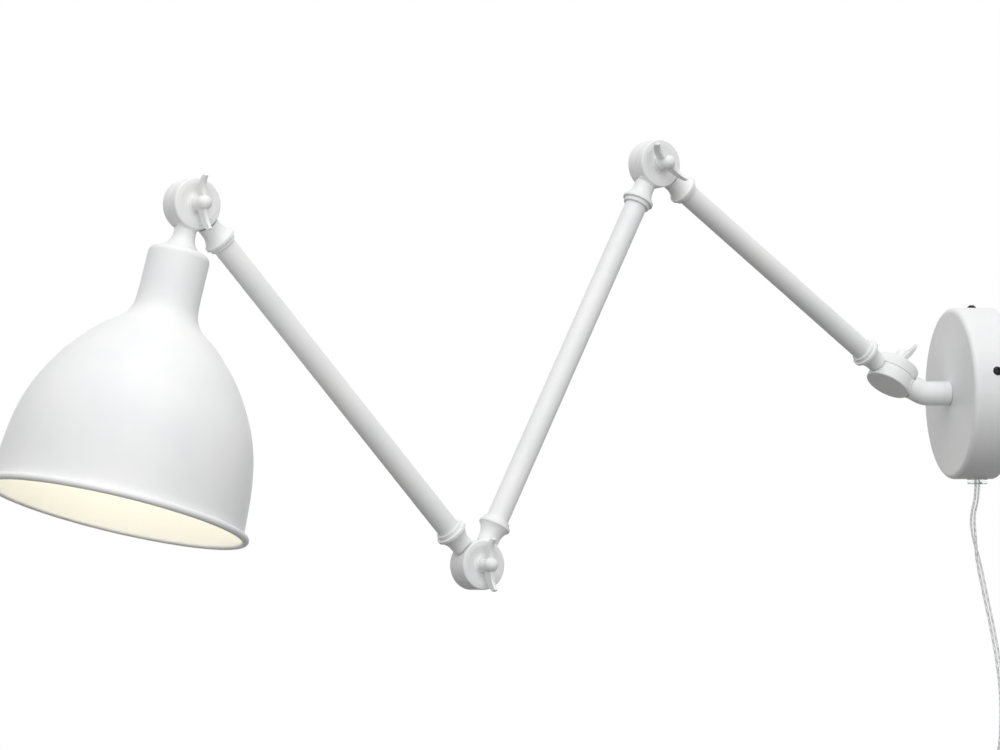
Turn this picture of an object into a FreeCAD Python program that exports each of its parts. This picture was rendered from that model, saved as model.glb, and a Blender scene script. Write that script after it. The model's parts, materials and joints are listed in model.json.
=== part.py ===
import FreeCAD, Part
import math
import os

# Articulating wall lamp: a wall cup, a bent stem, three arms on lap-jointed knuckles with wing
# nuts, and a bell shade with its lampholder. Millimetres. The wall is the plane Y = 0, the lamp
# stands out along -Y and +Z is up. The origin is the centre of the cup's back.

# ---- fits and gaps ----
FACE_GAP = 0.3          # between the two discs of a knuckle, and under a moving nut
RUNNING_FIT = 0.05      # radial, a stud or shank turning in its hole
SNUG_FIT = 0.05         # radial, pieces of one body that plug together
LOOSE_FIT = 0.3         # a clearance hole, or room round a piece
NECK_SLIT = 0.8         # a neck's arc stands this far off the other disc
OVER = 1.0              # a cut runs this far past the face it goes through

# ---- arms: centre to centre of their knuckles, and the angles at rest ----
REAR_ARM = 272.0
MIDDLE_ARM = 332.5
FRONT_ARM = 332.5
STEM_REACH = 20.3       # from the cup's face to the corner of the stem's bend
STEM_NECK = 27.8        # from that corner to the wall joint
STEM_BEND = 30.2        # degrees up from the wall's normal
STEM_TURN = -18.5       # degrees that the stem is turned in the cup, about +Y
WALL_SWING = 28.8       # degrees that the rear arm is swung from the stem's line
UPPER_FOLD = 94.9       # degrees each elbow turns its arm from straight
LOWER_FOLD = 108.1
SHADE_FOLD = 121.2

# ---- knuckles ----
DISC_R = 17.5
KNUCKLE_T = 17.8        # thickness of the two discs together, with their gap
DISC_EDGE = 1.0         # fillet round a disc's outer face
DISH_R = 13.6           # shallow dish that the wing nut sits in
DISH_FLOOR_R = 8.6
DISH_DEPTH = 1.2
SEAM_RISE = 2.3         # at the wall joint the discs part this far above the arm's line
CAVITY_R = 13.4         # wiring room inside each disc
CAVITY_DEPTH = 4.8
BOSS_R = 5.6            # boss round the stud, inside the cavity
NECK_R = 7.5
NECK_STRAIGHT = 21.0    # the neck flares from here
FLARE_R = 10.9
RIM_R = 11.4
RIM_AT = 30.3           # from the knuckle's centre to the rim
RIM_T = 2.1
RIM_EDGE = 0.4
RING_R = 9.7            # second ring, which the tube goes into
RING_T = 3.1
TUBE_SEAT = 4.0         # depth of the tube in that ring
SPIGOT_L = 12.0         # spigot inside the tube
WIRE_BORE_R = 3.2       # along the spigot
CHANNEL_R = 2.0         # from the spigot's bore into the cavity
CHANNEL_AT = 2.6        # from the mating plane to the channel's centre

# ---- tubes ----
TUBE_R = 8.0
TUBE_WALL = 1.0

# ---- studs, washers and wing nuts ----
STUD_R = 3.0
STUD_FLOOR = 2.0        # metal left under the stud in the plain disc
WASHER_R = 6.2
WASHER_T = 0.7
WASHER_RISE = 0.4       # height of the spring washer's cone
HUB_R = 5.2
HUB_H = 7.4             # straight part of the hub
HUB_DOME = 3.4
NUT_BORE_DEPTH = 7.6
WING_T = 2.2
WING_REACH = 18.4
WING_RISE = 13.2        # how far forward of the hub's base the tips stand
WING_ROOT_LOW = 1.8
WING_ROOT_HIGH = 8.6
WING_TIP = 2.6          # length of the tip's end edge
WING_IN = 1.5           # a wing's root lies this far inside the hub
WING_LOW_MID = (0.66, 0.26)     # its lower edge passes here: shares of the reach and the rise
WING_HIGH_MID = (0.60, 0.12)    # and its upper edge
WING_TIP_LEAN = 1.0     # the tip's end edge leans in by this
NUT_TURN_WALL = 75.0    # degrees each wing nut is turned from its arm's line
NUT_TURN_UPPER = 76.4
NUT_TURN_LOWER = 29.4
NUT_TURN_SHADE = 20.0

# ---- stem ----
STEM_R = 9.3
STEM_ARC = 18.0         # radius of the bend, on the centre line
SHANK_R = 5.0           # hollow threaded shank through the cup
SHANK_L = 13.0
SHANK_BORE_R = 3.2
STEM_NUT_AF = 17.0      # across flats
STEM_NUT_T = 4.5
STEM_WASHER_R = 12.0
STEM_WASHER_T = 1.2

# ---- wall cup ----
CUP_R = 66.0
CUP_DEPTH = 33.0
CUP_WALL = 1.2
CUP_EDGE = 4.0
CUP_SCREW_Y = -15.0
CUP_SCREW_ANGLES = (90.0, 15.2, 164.8)
CUP_SCREW_R = 2.0
CUP_SCREW_L = 8.0
CUP_SCREW_HEAD_R = 3.5
CUP_SCREW_HEAD_H = 2.2

# ---- wall bracket ----
BRACKET_T = 2.0
BRACKET_BAR_W = 18.0
BRACKET_LUG_W = 14.0
BRACKET_LUG_L = 21.0
BRACKET_LUG_ROOM = 2.2  # from a lug's outer face to the cup's wall
BRACKET_TONGUE_W = 22.0
BRACKET_TONGUE_DROP = 52.0
WALL_SLOT_SPACING = 60.0
WALL_SLOT_L = 12.0
WALL_SLOT_R = 2.25

# ---- terminal block ----
BLOCK_W = 18.0
BLOCK_H = 16.0
BLOCK_T = 12.0
BLOCK_DROP = 38.0       # from the cup's centre down to the block's centre
BLOCK_PITCH = 9.0
BLOCK_BORE_R = 1.7
BLOCK_SCREW_R = 1.4
BLOCK_SCREW_L = 4.0

# ---- cord grip ----
GRIP_Y = -10.5
GRIP_FLANGE_R = 8.0
GRIP_FLANGE_T = 3.8
GRIP_SHANK_R = 5.5
GRIP_SHANK_L = 8.0
GRIP_SLOT_W = 2.0
GRIP_SLOT_DEPTH = 2.4
GRIP_NUT_R = 8.5
GRIP_NUT_T = 3.0

# ---- flex and cord ----
CORD_W = 5.0            # width of the flat twin cord
CORD_T = 2.5
FLEX_END = 3.0          # an arm's flex ends this far inside the spigot's bore

# points that the cord turns at, from inside the grip down into the switch
CORD_ROUTE = [
    (0.0, -10.5, -66.0), (0.0, -10.5, -80.0), (-1.5, -15.2, -95.0), (1.0, -16.0, -116.0),
    (9.0, -12.5, -149.0), (22.0, -7.5, -186.0), (38.0, -5.2, -222.0), (46.0, -5.8, -257.0),
    (47.5, -9.5, -281.0), (47.5, -9.5, -300.0),
]
# the same from the switch to the coil, as steps from the switch's lower end
LEAD_STEPS = [(0.0, 0.0, 3.0), (0.0, 0.0, -13.0), (0.0, 5.0, -28.0), (0.0, 5.0, -40.0)]
# and from the coil's end to the plug
TAIL_STEPS = [(0.0, 0.0, 0.0), (0.0, 0.0, -14.0), (6.5, 3.5, -31.0), (6.5, 3.5, -45.0)]
ARC_SHARE = 0.45        # share of the shorter run that an arc takes

# ---- cord coil: four layers of two turns, wound about an axis along Y ----
COIL_OUTER_R = 33.0     # centre line of the outermost turn
COIL_PITCH = 5.5        # from turn to turn, and from layer to layer
COIL_LAYERS = 4
COIL_TURNS = 2          # in each layer
TIE_W = 6.0
TIE_T = 1.2

# ---- in-line switch ----
SWITCH_L = 60.0
SWITCH_W = 26.0
SWITCH_T = 17.0
SWITCH_EDGE = 4.0
SWITCH_WALL = 1.8
SWITCH_SPLIT = 8.0      # depth of the base half
SWITCH_ENTRY = 3.0      # the cord's ends lie this far inside the switch
SWITCH_POST_R = 3.0
SWITCH_POST_INSET = 16.0        # from the switch's ends to its two screw posts
SWITCH_SCREW_R = 1.2
SWITCH_SCREW_BITE = 6.0         # how far a screw reaches into the cover's post
SWITCH_HEAD_R = 2.2
SWITCH_HEAD_T = 1.4
SWITCH_HEAD_SINK = 0.2          # a screw's head lies this far below the base's back
ROCKER_W = 10.0
ROCKER_L = 18.0
ROCKER_TILT = 9.0       # degrees each side of level
ROCKER_CROWN = 2.6      # how far the rocker's middle stands above the cover
ROCKER_LIP = 0.6        # and its ends
ROCKER_SKIRT = 1.5      # its ends reach this far below the cover's face
ROCKER_KEEL = 1.8       # and its middle this far below its pin
ROCKER_KEEL_W = 4.4
ROCKER_PIN_R = 1.2
ROCKER_PIN_L = 13.6
ROCKER_PIN_DEPTH = 1.4  # from the cover's inner face to the pin
ROCKER_CHEEK_T = 2.0
ROCKER_CHEEK_W = 8.0

# ---- flat plug ----
PLUG_W = 35.0
PLUG_T = 13.6
PLUG_L = 34.0
PLUG_EDGE = 4.0
PLUG_SNOUT_L = 22.0
PLUG_SNOUT_R = 4.2
PLUG_SNOUT_TIP_R = 3.2
PIN_R = 2.0
PIN_L = 19.0
PIN_SPACING = 18.6
PIN_ROOT = 8.0          # the slimmer root moulded into the plug
PIN_ROOT_R = 1.6

# ---- shade: distances along its axis from the shade joint ----
SHADE_TOP = 31.5
SHADE_WALL = 0.8
SHADE_CORNER = 4.0
SHADE_NECK_R = 20.9
SHADE_NECK_END = 60.0
SHADE_WAIST = (76.0, 22.4)      # where the neck begins to open: distance, radius
SHADE_SHOULDER = (84.6, 28.0)
SHADE_CREST = (92.0, 37.6)
SHADE_SIDE = [(100.5, 46.3), (113.0, 57.2), (127.0, 66.2), (142.0, 73.8), (158.5, 79.3)]
SHADE_LOW = (183.0, 83.2)
SHADE_RIM = (211.5, 84.7)
BEAD_R = 2.5
BEAD_AT = (212.6, 86.4)         # centre of the rolled rim: distance, radius

# ---- lampholder ----
NIPPLE_R = 5.0
NIPPLE_BORE_R = 3.4
NIPPLE_L = 24.0
NIPPLE_SEAT = 9.0       # depth of the nipple in the knuckle
NIPPLE_NUT_AF = 14.0
NIPPLE_NUT_T = 3.0
HOLDER_R = 18.6
HOLDER_WALL = 1.6
HOLDER_CAP_L = 20.0
HOLDER_BODY_L = 33.0
HOLDER_LIP_R = 19.4
HOLDER_LIP_T = 3.0
HOLDER_CORNER = 4.0
CORE_T = 9.0
SOCKET_R = 13.3         # inside the brass sleeve
SOCKET_WALL = 0.6
SOCKET_L = 24.0
CONTACT_R = 3.5
CONTACT_H = 2.0

V = FreeCAD.Vector
ORIGIN = V(0, 0, 0)
AXIS_X = V(1, 0, 0)
AXIS_Y = V(0, 1, 0)
AXIS_Z = V(0, 0, 1)
HALF_T = KNUCKLE_T / 2
MATING = FACE_GAP / 2
RIM_END = RIM_AT + RIM_T
RING_END = RIM_END + RING_T
TUBE_START = RING_END - TUBE_SEAT
WASHER_SEAT = HALF_T - DISH_DEPTH
NUT_SEAT = WASHER_SEAT + WASHER_T + WASHER_RISE + FACE_GAP
CORE_R = SOCKET_R + SOCKET_WALL
switch_top = V(*CORD_ROUTE[-1]) + AXIS_Z * SWITCH_ENTRY
switch_foot = switch_top - AXIS_Z * SWITCH_L
coil_start = switch_foot + V(*LEAD_STEPS[-1])
coil_centre = coil_start - AXIS_X * COIL_OUTER_R - AXIS_Z * CORD_W
coil_depth = COIL_PITCH * (COIL_LAYERS - 1)
coil_end = coil_start - AXIS_Y * coil_depth - AXIS_Z * (2 * CORD_W)
cord_end = coil_end + V(*TAIL_STEPS[-1])


# ---- small helpers ----
def turned(vector, axis, degrees):
    """A vector turned about an axis by the right-hand rule."""
    return FreeCAD.Rotation(axis, degrees).multVec(vector)


def frame(origin, x_dir, z_dir):
    """The placement that carries local X and Z to the given directions."""
    y_dir = z_dir.cross(x_dir)
    matrix = FreeCAD.Matrix(
        x_dir.x, y_dir.x, z_dir.x, origin.x,
        x_dir.y, y_dir.y, z_dir.y, origin.y,
        x_dir.z, y_dir.z, z_dir.z, origin.z,
        0, 0, 0, 1)
    return FreeCAD.Placement(matrix)


def placed(shape, placement):
    """A copy of a shape, carried from its local frame to the lamp."""
    copy = shape.copy()
    copy.Placement = placement.multiply(copy.Placement)
    return copy


def placed_back(shape, placement):
    """The same the other way, from the lamp to the local frame."""
    return placed(shape, placement.inverse())


def save(node, *shapes):
    """Writes one node, of one solid or several."""
    shape = shapes[0] if len(shapes) == 1 else Part.makeCompound(list(shapes))
    shape.exportStep("parts/" + node + ".step")


def cylinder(radius, start, end, axis=AXIS_Z, centre=ORIGIN):
    """A cylinder between two distances along an axis through centre."""
    low, high = min(start, end), max(start, end)
    return Part.makeCylinder(radius, high - low, centre + axis * low, axis)


def box(x_range, y_range, z_range):
    """A box between three pairs of coordinates."""
    corner = V(x_range[0], y_range[0], z_range[0])
    return Part.makeBox(x_range[1] - x_range[0], y_range[1] - y_range[0],
                        z_range[1] - z_range[0], corner)


def line(start, end):
    return Part.LineSegment(start, end).toShape()


def arc(start, middle, end):
    return Part.Arc(start, middle, end).toShape()


def outline(points):
    """The edges of an open run of straight lines; a side of no length is left out."""
    return [line(a, b) for a, b in zip(points, points[1:]) if a.distanceToPoint(b) > 1e-6]


def revolved(edges, axis, centre=ORIGIN):
    """The solid that a closed outline sweeps about an axis."""
    face = Part.Face(Part.Wire(Part.__sortEdges__(edges)))
    solid = face.revolve(centre, axis, 360)
    return Part.makeSolid(solid) if solid.ShapeType == "Shell" else solid


def hexagon(across_flats, start, end, bore):
    """A hexagon nut along local X."""
    corner = across_flats / math.sqrt(3)
    points = [V(start, corner * math.cos(math.radians(60 * i)),
                corner * math.sin(math.radians(60 * i))) for i in range(7)]
    body = Part.Face(Part.makePolygon(points)).extrude(AXIS_X * (end - start))
    return body.cut(cylinder(bore, start - OVER, end + OVER, AXIS_X))


def rounded_box(x_range, y_range, z_range, radius, keep):
    """A box with the edges that run along the axis keep rounded."""
    solid = box(x_range, y_range, z_range)
    edges = [e for e in solid.Edges if abs(e.tangentAt(e.FirstParameter).dot(keep)) > 0.99]
    return solid.makeFillet(radius, edges)


# ---- the lamp's skeleton ----
stem_line = turned(turned(V(0, -1, 0), AXIS_X, -STEM_BEND), AXIS_Y, STEM_TURN)
wall_axis = turned(turned(AXIS_Z, AXIS_X, -STEM_BEND), AXIS_Y, STEM_TURN)
stem_corner = V(0, -CUP_DEPTH - STEM_REACH, 0)
wall_joint = stem_corner + stem_line * STEM_NECK
wall_seam = wall_joint + wall_axis * SEAM_RISE
rear_line = turned(stem_line, wall_axis, WALL_SWING)
elbow_axis = wall_axis.cross(rear_line)
upper_elbow = wall_joint + rear_line * REAR_ARM
middle_line = turned(rear_line, elbow_axis, UPPER_FOLD)
lower_elbow = upper_elbow + middle_line * MIDDLE_ARM
front_line = turned(middle_line, elbow_axis, -LOWER_FOLD)
shade_joint = lower_elbow + front_line * FRONT_ARM
shade_line = turned(front_line, elbow_axis, SHADE_FOLD)


# ---- knuckle halves: local X along the arm, local Z along the joint, towards the wing nut ----
def disc(side, outer=HALF_T):
    """One disc, from the mating plane to its outer face.

    side is 1 for the dished disc at the nut and -1 for the plain one.
    """
    solid = cylinder(DISC_R, side * MATING, side * outer)
    rims = [e for e in solid.Edges if abs(e.CenterOfMass.z - side * outer) < 0.01
            and e.Curve.TypeId == "Part::GeomCircle"]
    solid = solid.makeFillet(DISC_EDGE, rims)
    if side > 0:
        dish = Part.makeCone(DISH_FLOOR_R, DISH_R, DISH_DEPTH, V(0, 0, WASHER_SEAT), AXIS_Z)
        solid = solid.cut(dish)
    return solid


def flared_neck(end_edges, end_x):
    """The neck about local X, from inside the disc to its flare; end_edges close the far end."""
    start_x = BOSS_R
    sweep = NECK_STRAIGHT - RIM_AT
    rise = FLARE_R - NECK_R
    radius = (sweep * sweep + rise * rise) / (2 * rise)
    half = math.asin(-sweep / radius) / 2
    middle = V(NECK_STRAIGHT + radius * math.sin(half),
               NECK_R + radius * (1 - math.cos(half)), 0)
    edges = outline([V(end_x, 0, 0), V(start_x, 0, 0), V(start_x, NECK_R, 0),
                     V(NECK_STRAIGHT, NECK_R, 0)])
    edges.append(arc(V(NECK_STRAIGHT, NECK_R, 0), middle, V(RIM_AT, FLARE_R, 0)))
    return revolved(edges + end_edges, AXIS_X)


def rim_edges(after):
    """The rim's outline from the flare out, over its bevelled lip, then on through after."""
    return outline([V(RIM_AT, FLARE_R, 0), V(RIM_AT, RIM_R - RIM_EDGE, 0),
                    V(RIM_AT + RIM_EDGE, RIM_R, 0)] + after)


def clear_of_other_disc(side):
    """The space that the other knuckle's disc turns in."""
    return cylinder(DISC_R + NECK_SLIT, side * MATING, -side * 2 * RIM_R)


def hollowed(solid, side, bore_end, rise=0.0):
    """Takes the wiring cavity and the flex channel out of a knuckle.

    A short cross drilling joins the channel to the bore on the arm's line, rise below the
    mating plane.
    """
    cavity = cylinder(CAVITY_R, side * MATING, side * (MATING + CAVITY_DEPTH))
    cavity = cavity.cut(cylinder(BOSS_R, 0, side * HALF_T))
    channel = cylinder(CHANNEL_R, BOSS_R + CHANNEL_R, bore_end, AXIS_X,
                       V(0, 0, side * CHANNEL_AT))
    cross = cylinder(CHANNEL_R, -rise, side * CHANNEL_AT, AXIS_Z, V(bore_end - CHANNEL_R, 0, 0))
    return solid.cut(cavity).cut(channel).cut(cross)


def stud_hole(side):
    """A through hole in the dished disc, a blind one in the plain disc."""
    if side > 0:
        return cylinder(STUD_R + RUNNING_FIT, 0, HALF_T)
    return cylinder(STUD_R + SNUG_FIT, 0, -(HALF_T - STUD_FLOOR))


def arm_knuckle(side, rise):
    """A knuckle half with the rim, ring and spigot that carry an arm's tube.

    The arm's line lies rise below the mating plane.
    """
    arm_at = V(0, 0, -rise)
    socket_r = TUBE_R + SNUG_FIT
    spigot_r = TUBE_R - TUBE_WALL - SNUG_FIT
    spigot_end = TUBE_START + SPIGOT_L
    after = [V(RIM_END - RIM_EDGE, RIM_R, 0), V(RIM_END, RIM_R - RIM_EDGE, 0),
             V(RIM_END, RING_R, 0), V(RING_END - RIM_EDGE, RING_R, 0),
             V(RING_END, RING_R - RIM_EDGE, 0), V(RING_END, socket_r, 0),
             V(TUBE_START, socket_r, 0), V(TUBE_START, spigot_r, 0),
             V(spigot_end, spigot_r, 0), V(spigot_end, 0, 0)]
    neck = flared_neck(rim_edges(after), spigot_end)
    neck.translate(arm_at)
    solid = disc(side).fuse(neck.cut(clear_of_other_disc(side))).removeSplitter()
    bore = cylinder(WIRE_BORE_R, RIM_AT - FLEX_END, spigot_end + OVER, AXIS_X, arm_at)
    solid = hollowed(solid.cut(bore), side, RIM_AT, rise)
    return solid.cut(stud_hole(side))


def shade_knuckle():
    """The dished half that ends in a foot on the shade's top."""
    neck = flared_neck([line(V(RIM_AT, FLARE_R, 0), V(RIM_AT, 0, 0))], RIM_AT)
    foot = cylinder(RIM_R, RIM_AT, SHADE_TOP, AXIS_X)
    solid = disc(1).fuse(neck.cut(clear_of_other_disc(1))).fuse(foot).removeSplitter()
    seat = SHADE_TOP - NIPPLE_SEAT
    solid = solid.cut(cylinder(NIPPLE_R + SNUG_FIT, seat, SHADE_TOP + OVER, AXIS_X))
    solid = hollowed(solid, 1, seat + OVER)
    return solid.cut(stud_hole(1))


def stud():
    """The pivot stud, screwed into the plain disc and passing through the dished one."""
    return cylinder(STUD_R, -(HALF_T - STUD_FLOOR), NUT_SEAT + NUT_BORE_DEPTH - FACE_GAP)


def spring_washer():
    """A coned spring washer in the dish."""
    inner = STUD_R + LOOSE_FIT
    points = [V(inner, 0, WASHER_SEAT + WASHER_RISE), V(WASHER_R, 0, WASHER_SEAT),
              V(WASHER_R, 0, WASHER_SEAT + WASHER_T),
              V(inner, 0, WASHER_SEAT + WASHER_RISE + WASHER_T)]
    return revolved(outline(points + points[:1]), AXIS_Z)


def wing(direction):
    """One wing, rising forward to its tip; direction is 1 or -1 along local X."""
    low = NUT_SEAT + WING_ROOT_LOW
    high = NUT_SEAT + WING_ROOT_HIGH
    tip = NUT_SEAT + WING_RISE
    root = HUB_R - WING_IN
    a = V(direction * root, 0, low)
    b = V(direction * WING_REACH, 0, tip - WING_TIP)
    c = V(direction * (WING_REACH - WING_TIP_LEAN), 0, tip)
    d = V(direction * root, 0, high)
    lower = arc(a, V(direction * WING_REACH * WING_LOW_MID[0], 0,
                     low + WING_LOW_MID[1] * (tip - low)), b)
    upper = arc(c, V(direction * WING_REACH * WING_HIGH_MID[0], 0,
                     high + WING_HIGH_MID[1] * (tip - high)), d)
    face = Part.Face(Part.Wire([lower, line(b, c), upper, line(d, a)]))
    face.translate(V(0, -WING_T / 2, 0))
    return face.extrude(AXIS_Y * WING_T)


def wing_nut():
    """A domed hub with a blind bore and two wings."""
    top = NUT_SEAT + HUB_H
    dome_r = (HUB_R * HUB_R + HUB_DOME * HUB_DOME) / (2 * HUB_DOME)
    half = math.asin(HUB_R / dome_r) / 2
    middle = V(dome_r * math.sin(half), 0, top + HUB_DOME - dome_r * (1 - math.cos(half)))
    edges = outline([V(0, 0, top + HUB_DOME), V(0, 0, NUT_SEAT), V(HUB_R, 0, NUT_SEAT),
                     V(HUB_R, 0, top)])
    edges.append(arc(V(HUB_R, 0, top), middle, V(0, 0, top + HUB_DOME)))
    solid = revolved(edges, AXIS_Z).fuse(wing(1)).fuse(wing(-1))
    bore = cylinder(STUD_R + RUNNING_FIT, NUT_SEAT - OVER, NUT_SEAT + NUT_BORE_DEPTH)
    return solid.removeSplitter().cut(bore)


def save_pivot(name, centre, arm_dir, axis, nut_turn):
    """The stud, washer and wing nut of one joint."""
    place = frame(centre, arm_dir, axis)
    save(name + "_stud", placed(stud(), place))
    save(name + "_spring_washer", placed(spring_washer(), place))
    nut_place = frame(centre, turned(arm_dir, axis, nut_turn), axis)
    save(name + "_wing_nut", placed(wing_nut(), nut_place))


# ---- arms ----
def arm_tube(length):
    """The tube between an arm's two knuckles, along local X."""
    solid = cylinder(TUBE_R, TUBE_START, length - TUBE_START, AXIS_X)
    return solid.cut(cylinder(TUBE_R - TUBE_WALL, 0, length, AXIS_X))


def flat_flex(start, end):
    """A straight length of the flat twin flex, along local X."""
    offset = (CORD_W - CORD_T) / 2
    core = box((start, end), (-offset, offset), (-CORD_T / 2, CORD_T / 2))
    for y in (-offset, offset):
        core = core.fuse(cylinder(CORD_T / 2, start, end, AXIS_X, V(0, y, 0)))
    return core.removeSplitter()


def save_arm(name, start, direction, length, near, far):
    """One arm: near and far give each knuckle's name, joint axis, side and seam's rise."""
    ends = ((near, start, direction), (far, start + direction * length, direction * -1))
    for (knuckle, axis, side, rise), centre, inward in ends:
        place = frame(centre + axis * rise, inward, axis)
        save(name + "_" + knuckle, placed(arm_knuckle(side, rise), place))
    along = frame(start, direction, near[1])
    save(name + "_tube", placed(arm_tube(length), along))
    save(name + "_flex", placed(flat_flex(RIM_AT, length - RIM_AT), along))


# ---- stem ----
def bent_rod(radius, start_y, neck_end):
    """A round rod along the stem: straight out of the cup, round the bend, up the neck."""
    reach = STEM_ARC * math.tan(math.radians(STEM_BEND / 2))
    start = V(0, start_y, 0)
    before = stem_corner + AXIS_Y * reach
    after = stem_corner + stem_line * reach
    inward = ((before - stem_corner) + (after - stem_corner)).normalize()
    centre = stem_corner + inward * (STEM_ARC / math.cos(math.radians(STEM_BEND / 2)))
    middle = centre - inward * STEM_ARC
    end = wall_joint - stem_line * neck_end
    path = Part.Wire([line(start, before), arc(before, middle, after), line(after, end)])
    section = Part.Wire([Part.Circle(start, AXIS_Y, radius).toShape()])
    return path.makePipeShell([section], True, False)


def stem():
    """The bent stem with the plain lower disc and the hollow shank through the cup."""
    place = frame(wall_seam, stem_line * -1, wall_axis)
    shoulder = -CUP_DEPTH - FACE_GAP
    underside = HALF_T + SEAM_RISE
    rod = bent_rod(STEM_R, shoulder, BOSS_R)
    rod = rod.cut(placed(clear_of_other_disc(-1), place))
    rod = rod.cut(placed(cylinder(DISC_R, -underside, -underside - STEM_R), place))
    solid = placed(disc(-1, underside), place).fuse(rod)
    solid = solid.fuse(cylinder(SHANK_R, shoulder, -CUP_DEPTH + SHANK_L, AXIS_Y))
    drilling = cylinder(SHANK_BORE_R, stem_corner.y, -CUP_DEPTH + SHANK_L + OVER, AXIS_Y)
    neck_end = DISC_R + NECK_SLIT + OVER
    drilling = drilling.fuse(cylinder(SHANK_BORE_R, neck_end, STEM_NECK, stem_line * -1,
                                      wall_joint))
    drilling = drilling.fuse(Part.makeSphere(SHANK_BORE_R, stem_corner))
    solid = placed_back(solid.removeSplitter().cut(drilling), place)
    solid = hollowed(solid, -1, neck_end + OVER, SEAM_RISE)
    return placed(solid.cut(stud_hole(-1)), place)


def save_stem():
    """The stem, and the washer and nut that hold it inside the cup."""
    save("stem", stem())
    inside = -CUP_DEPTH + CUP_WALL + FACE_GAP
    after_washer = inside + STEM_WASHER_T
    upright = frame(ORIGIN, AXIS_Y, AXIS_Z)
    washer = cylinder(STEM_WASHER_R, inside, after_washer, AXIS_X)
    washer = washer.cut(cylinder(SHANK_R + SNUG_FIT, inside - OVER, after_washer + OVER, AXIS_X))
    save("stem_washer", placed(washer, upright))
    nut = hexagon(STEM_NUT_AF, after_washer, after_washer + STEM_NUT_T, SHANK_R + SNUG_FIT)
    save("stem_nut", placed(nut, upright))


# ---- wall cup and what it holds ----
def radial(angle):
    """The direction out from the cup's centre line at an angle up from +X."""
    return V(math.cos(math.radians(angle)), 0, math.sin(math.radians(angle)))


def wall_cup():
    """A drawn cup, open at the wall, with its holes."""
    inner = CUP_R - CUP_WALL
    floor = -CUP_DEPTH + CUP_WALL
    bend = math.sqrt(0.5)
    corner = CUP_EDGE - CUP_WALL
    edges = outline([V(inner, 0, 0), V(CUP_R, 0, 0), V(CUP_R, CUP_EDGE - CUP_DEPTH, 0)])
    edges.append(arc(V(CUP_R, CUP_EDGE - CUP_DEPTH, 0),
                     V(CUP_R - CUP_EDGE * (1 - bend), -CUP_DEPTH + CUP_EDGE * (1 - bend), 0),
                     V(CUP_R - CUP_EDGE, -CUP_DEPTH, 0)))
    edges += outline([V(CUP_R - CUP_EDGE, -CUP_DEPTH, 0), V(0, -CUP_DEPTH, 0),
                      V(0, floor, 0), V(inner - corner, floor, 0)])
    edges.append(arc(V(inner - corner, floor, 0),
                     V(inner - corner * (1 - bend), floor + corner * (1 - bend), 0),
                     V(inner, floor + corner, 0)))
    edges.append(line(V(inner, floor + corner, 0), V(inner, 0, 0)))
    cup = revolved(edges, AXIS_Y)
    cup = cup.cut(cylinder(SHANK_R + RUNNING_FIT, -CUP_DEPTH - OVER, floor + OVER, AXIS_Y))
    for angle in CUP_SCREW_ANGLES:
        hole = cylinder(CUP_SCREW_R + LOOSE_FIT, inner - OVER, CUP_R + OVER, radial(angle),
                        V(0, CUP_SCREW_Y, 0))
        cup = cup.cut(hole)
    grip = cylinder(GRIP_SHANK_R + SNUG_FIT, inner - 2 * OVER, CUP_R + OVER, V(0, 0, -1),
                    V(0, GRIP_Y, 0))
    return cup.cut(grip)


def cup_screw(angle):
    """A dome-head screw along a radius of the cup."""
    dome_r = (CUP_SCREW_HEAD_R ** 2 + CUP_SCREW_HEAD_H ** 2) / (2 * CUP_SCREW_HEAD_H)
    half = math.asin(CUP_SCREW_HEAD_R / dome_r) / 2
    top = CUP_R + CUP_SCREW_HEAD_H
    middle = V(top - dome_r * (1 - math.cos(half)), dome_r * math.sin(half), 0)
    tip = CUP_R - CUP_SCREW_L
    edges = outline([V(top, 0, 0), V(tip, 0, 0), V(tip, CUP_SCREW_R, 0),
                     V(CUP_R, CUP_SCREW_R, 0), V(CUP_R, CUP_SCREW_HEAD_R, 0)])
    edges.append(arc(V(CUP_R, CUP_SCREW_HEAD_R, 0), middle, V(top, 0, 0)))
    return placed(revolved(edges, AXIS_X), frame(V(0, CUP_SCREW_Y, 0), radial(angle), AXIS_Y))


def bracket_lug(angle):
    """A tab that stands out from the bracket's plate behind one cup screw."""
    outer = CUP_R - CUP_WALL - BRACKET_LUG_ROOM
    half = BRACKET_LUG_W / 2
    tab = box((outer - BRACKET_T, outer), (-half, half), (0, BRACKET_LUG_L))
    root = box((outer - BRACKET_LUG_W, outer), (-half, half), (0, BRACKET_T))
    hole = cylinder(CUP_SCREW_R + SNUG_FIT, outer - BRACKET_T - OVER, outer + OVER, AXIS_X,
                    V(0, 0, -CUP_SCREW_Y))
    lug = tab.fuse(root).cut(hole)
    return placed(lug, frame(ORIGIN, radial(angle), AXIS_Y * -1))


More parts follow.
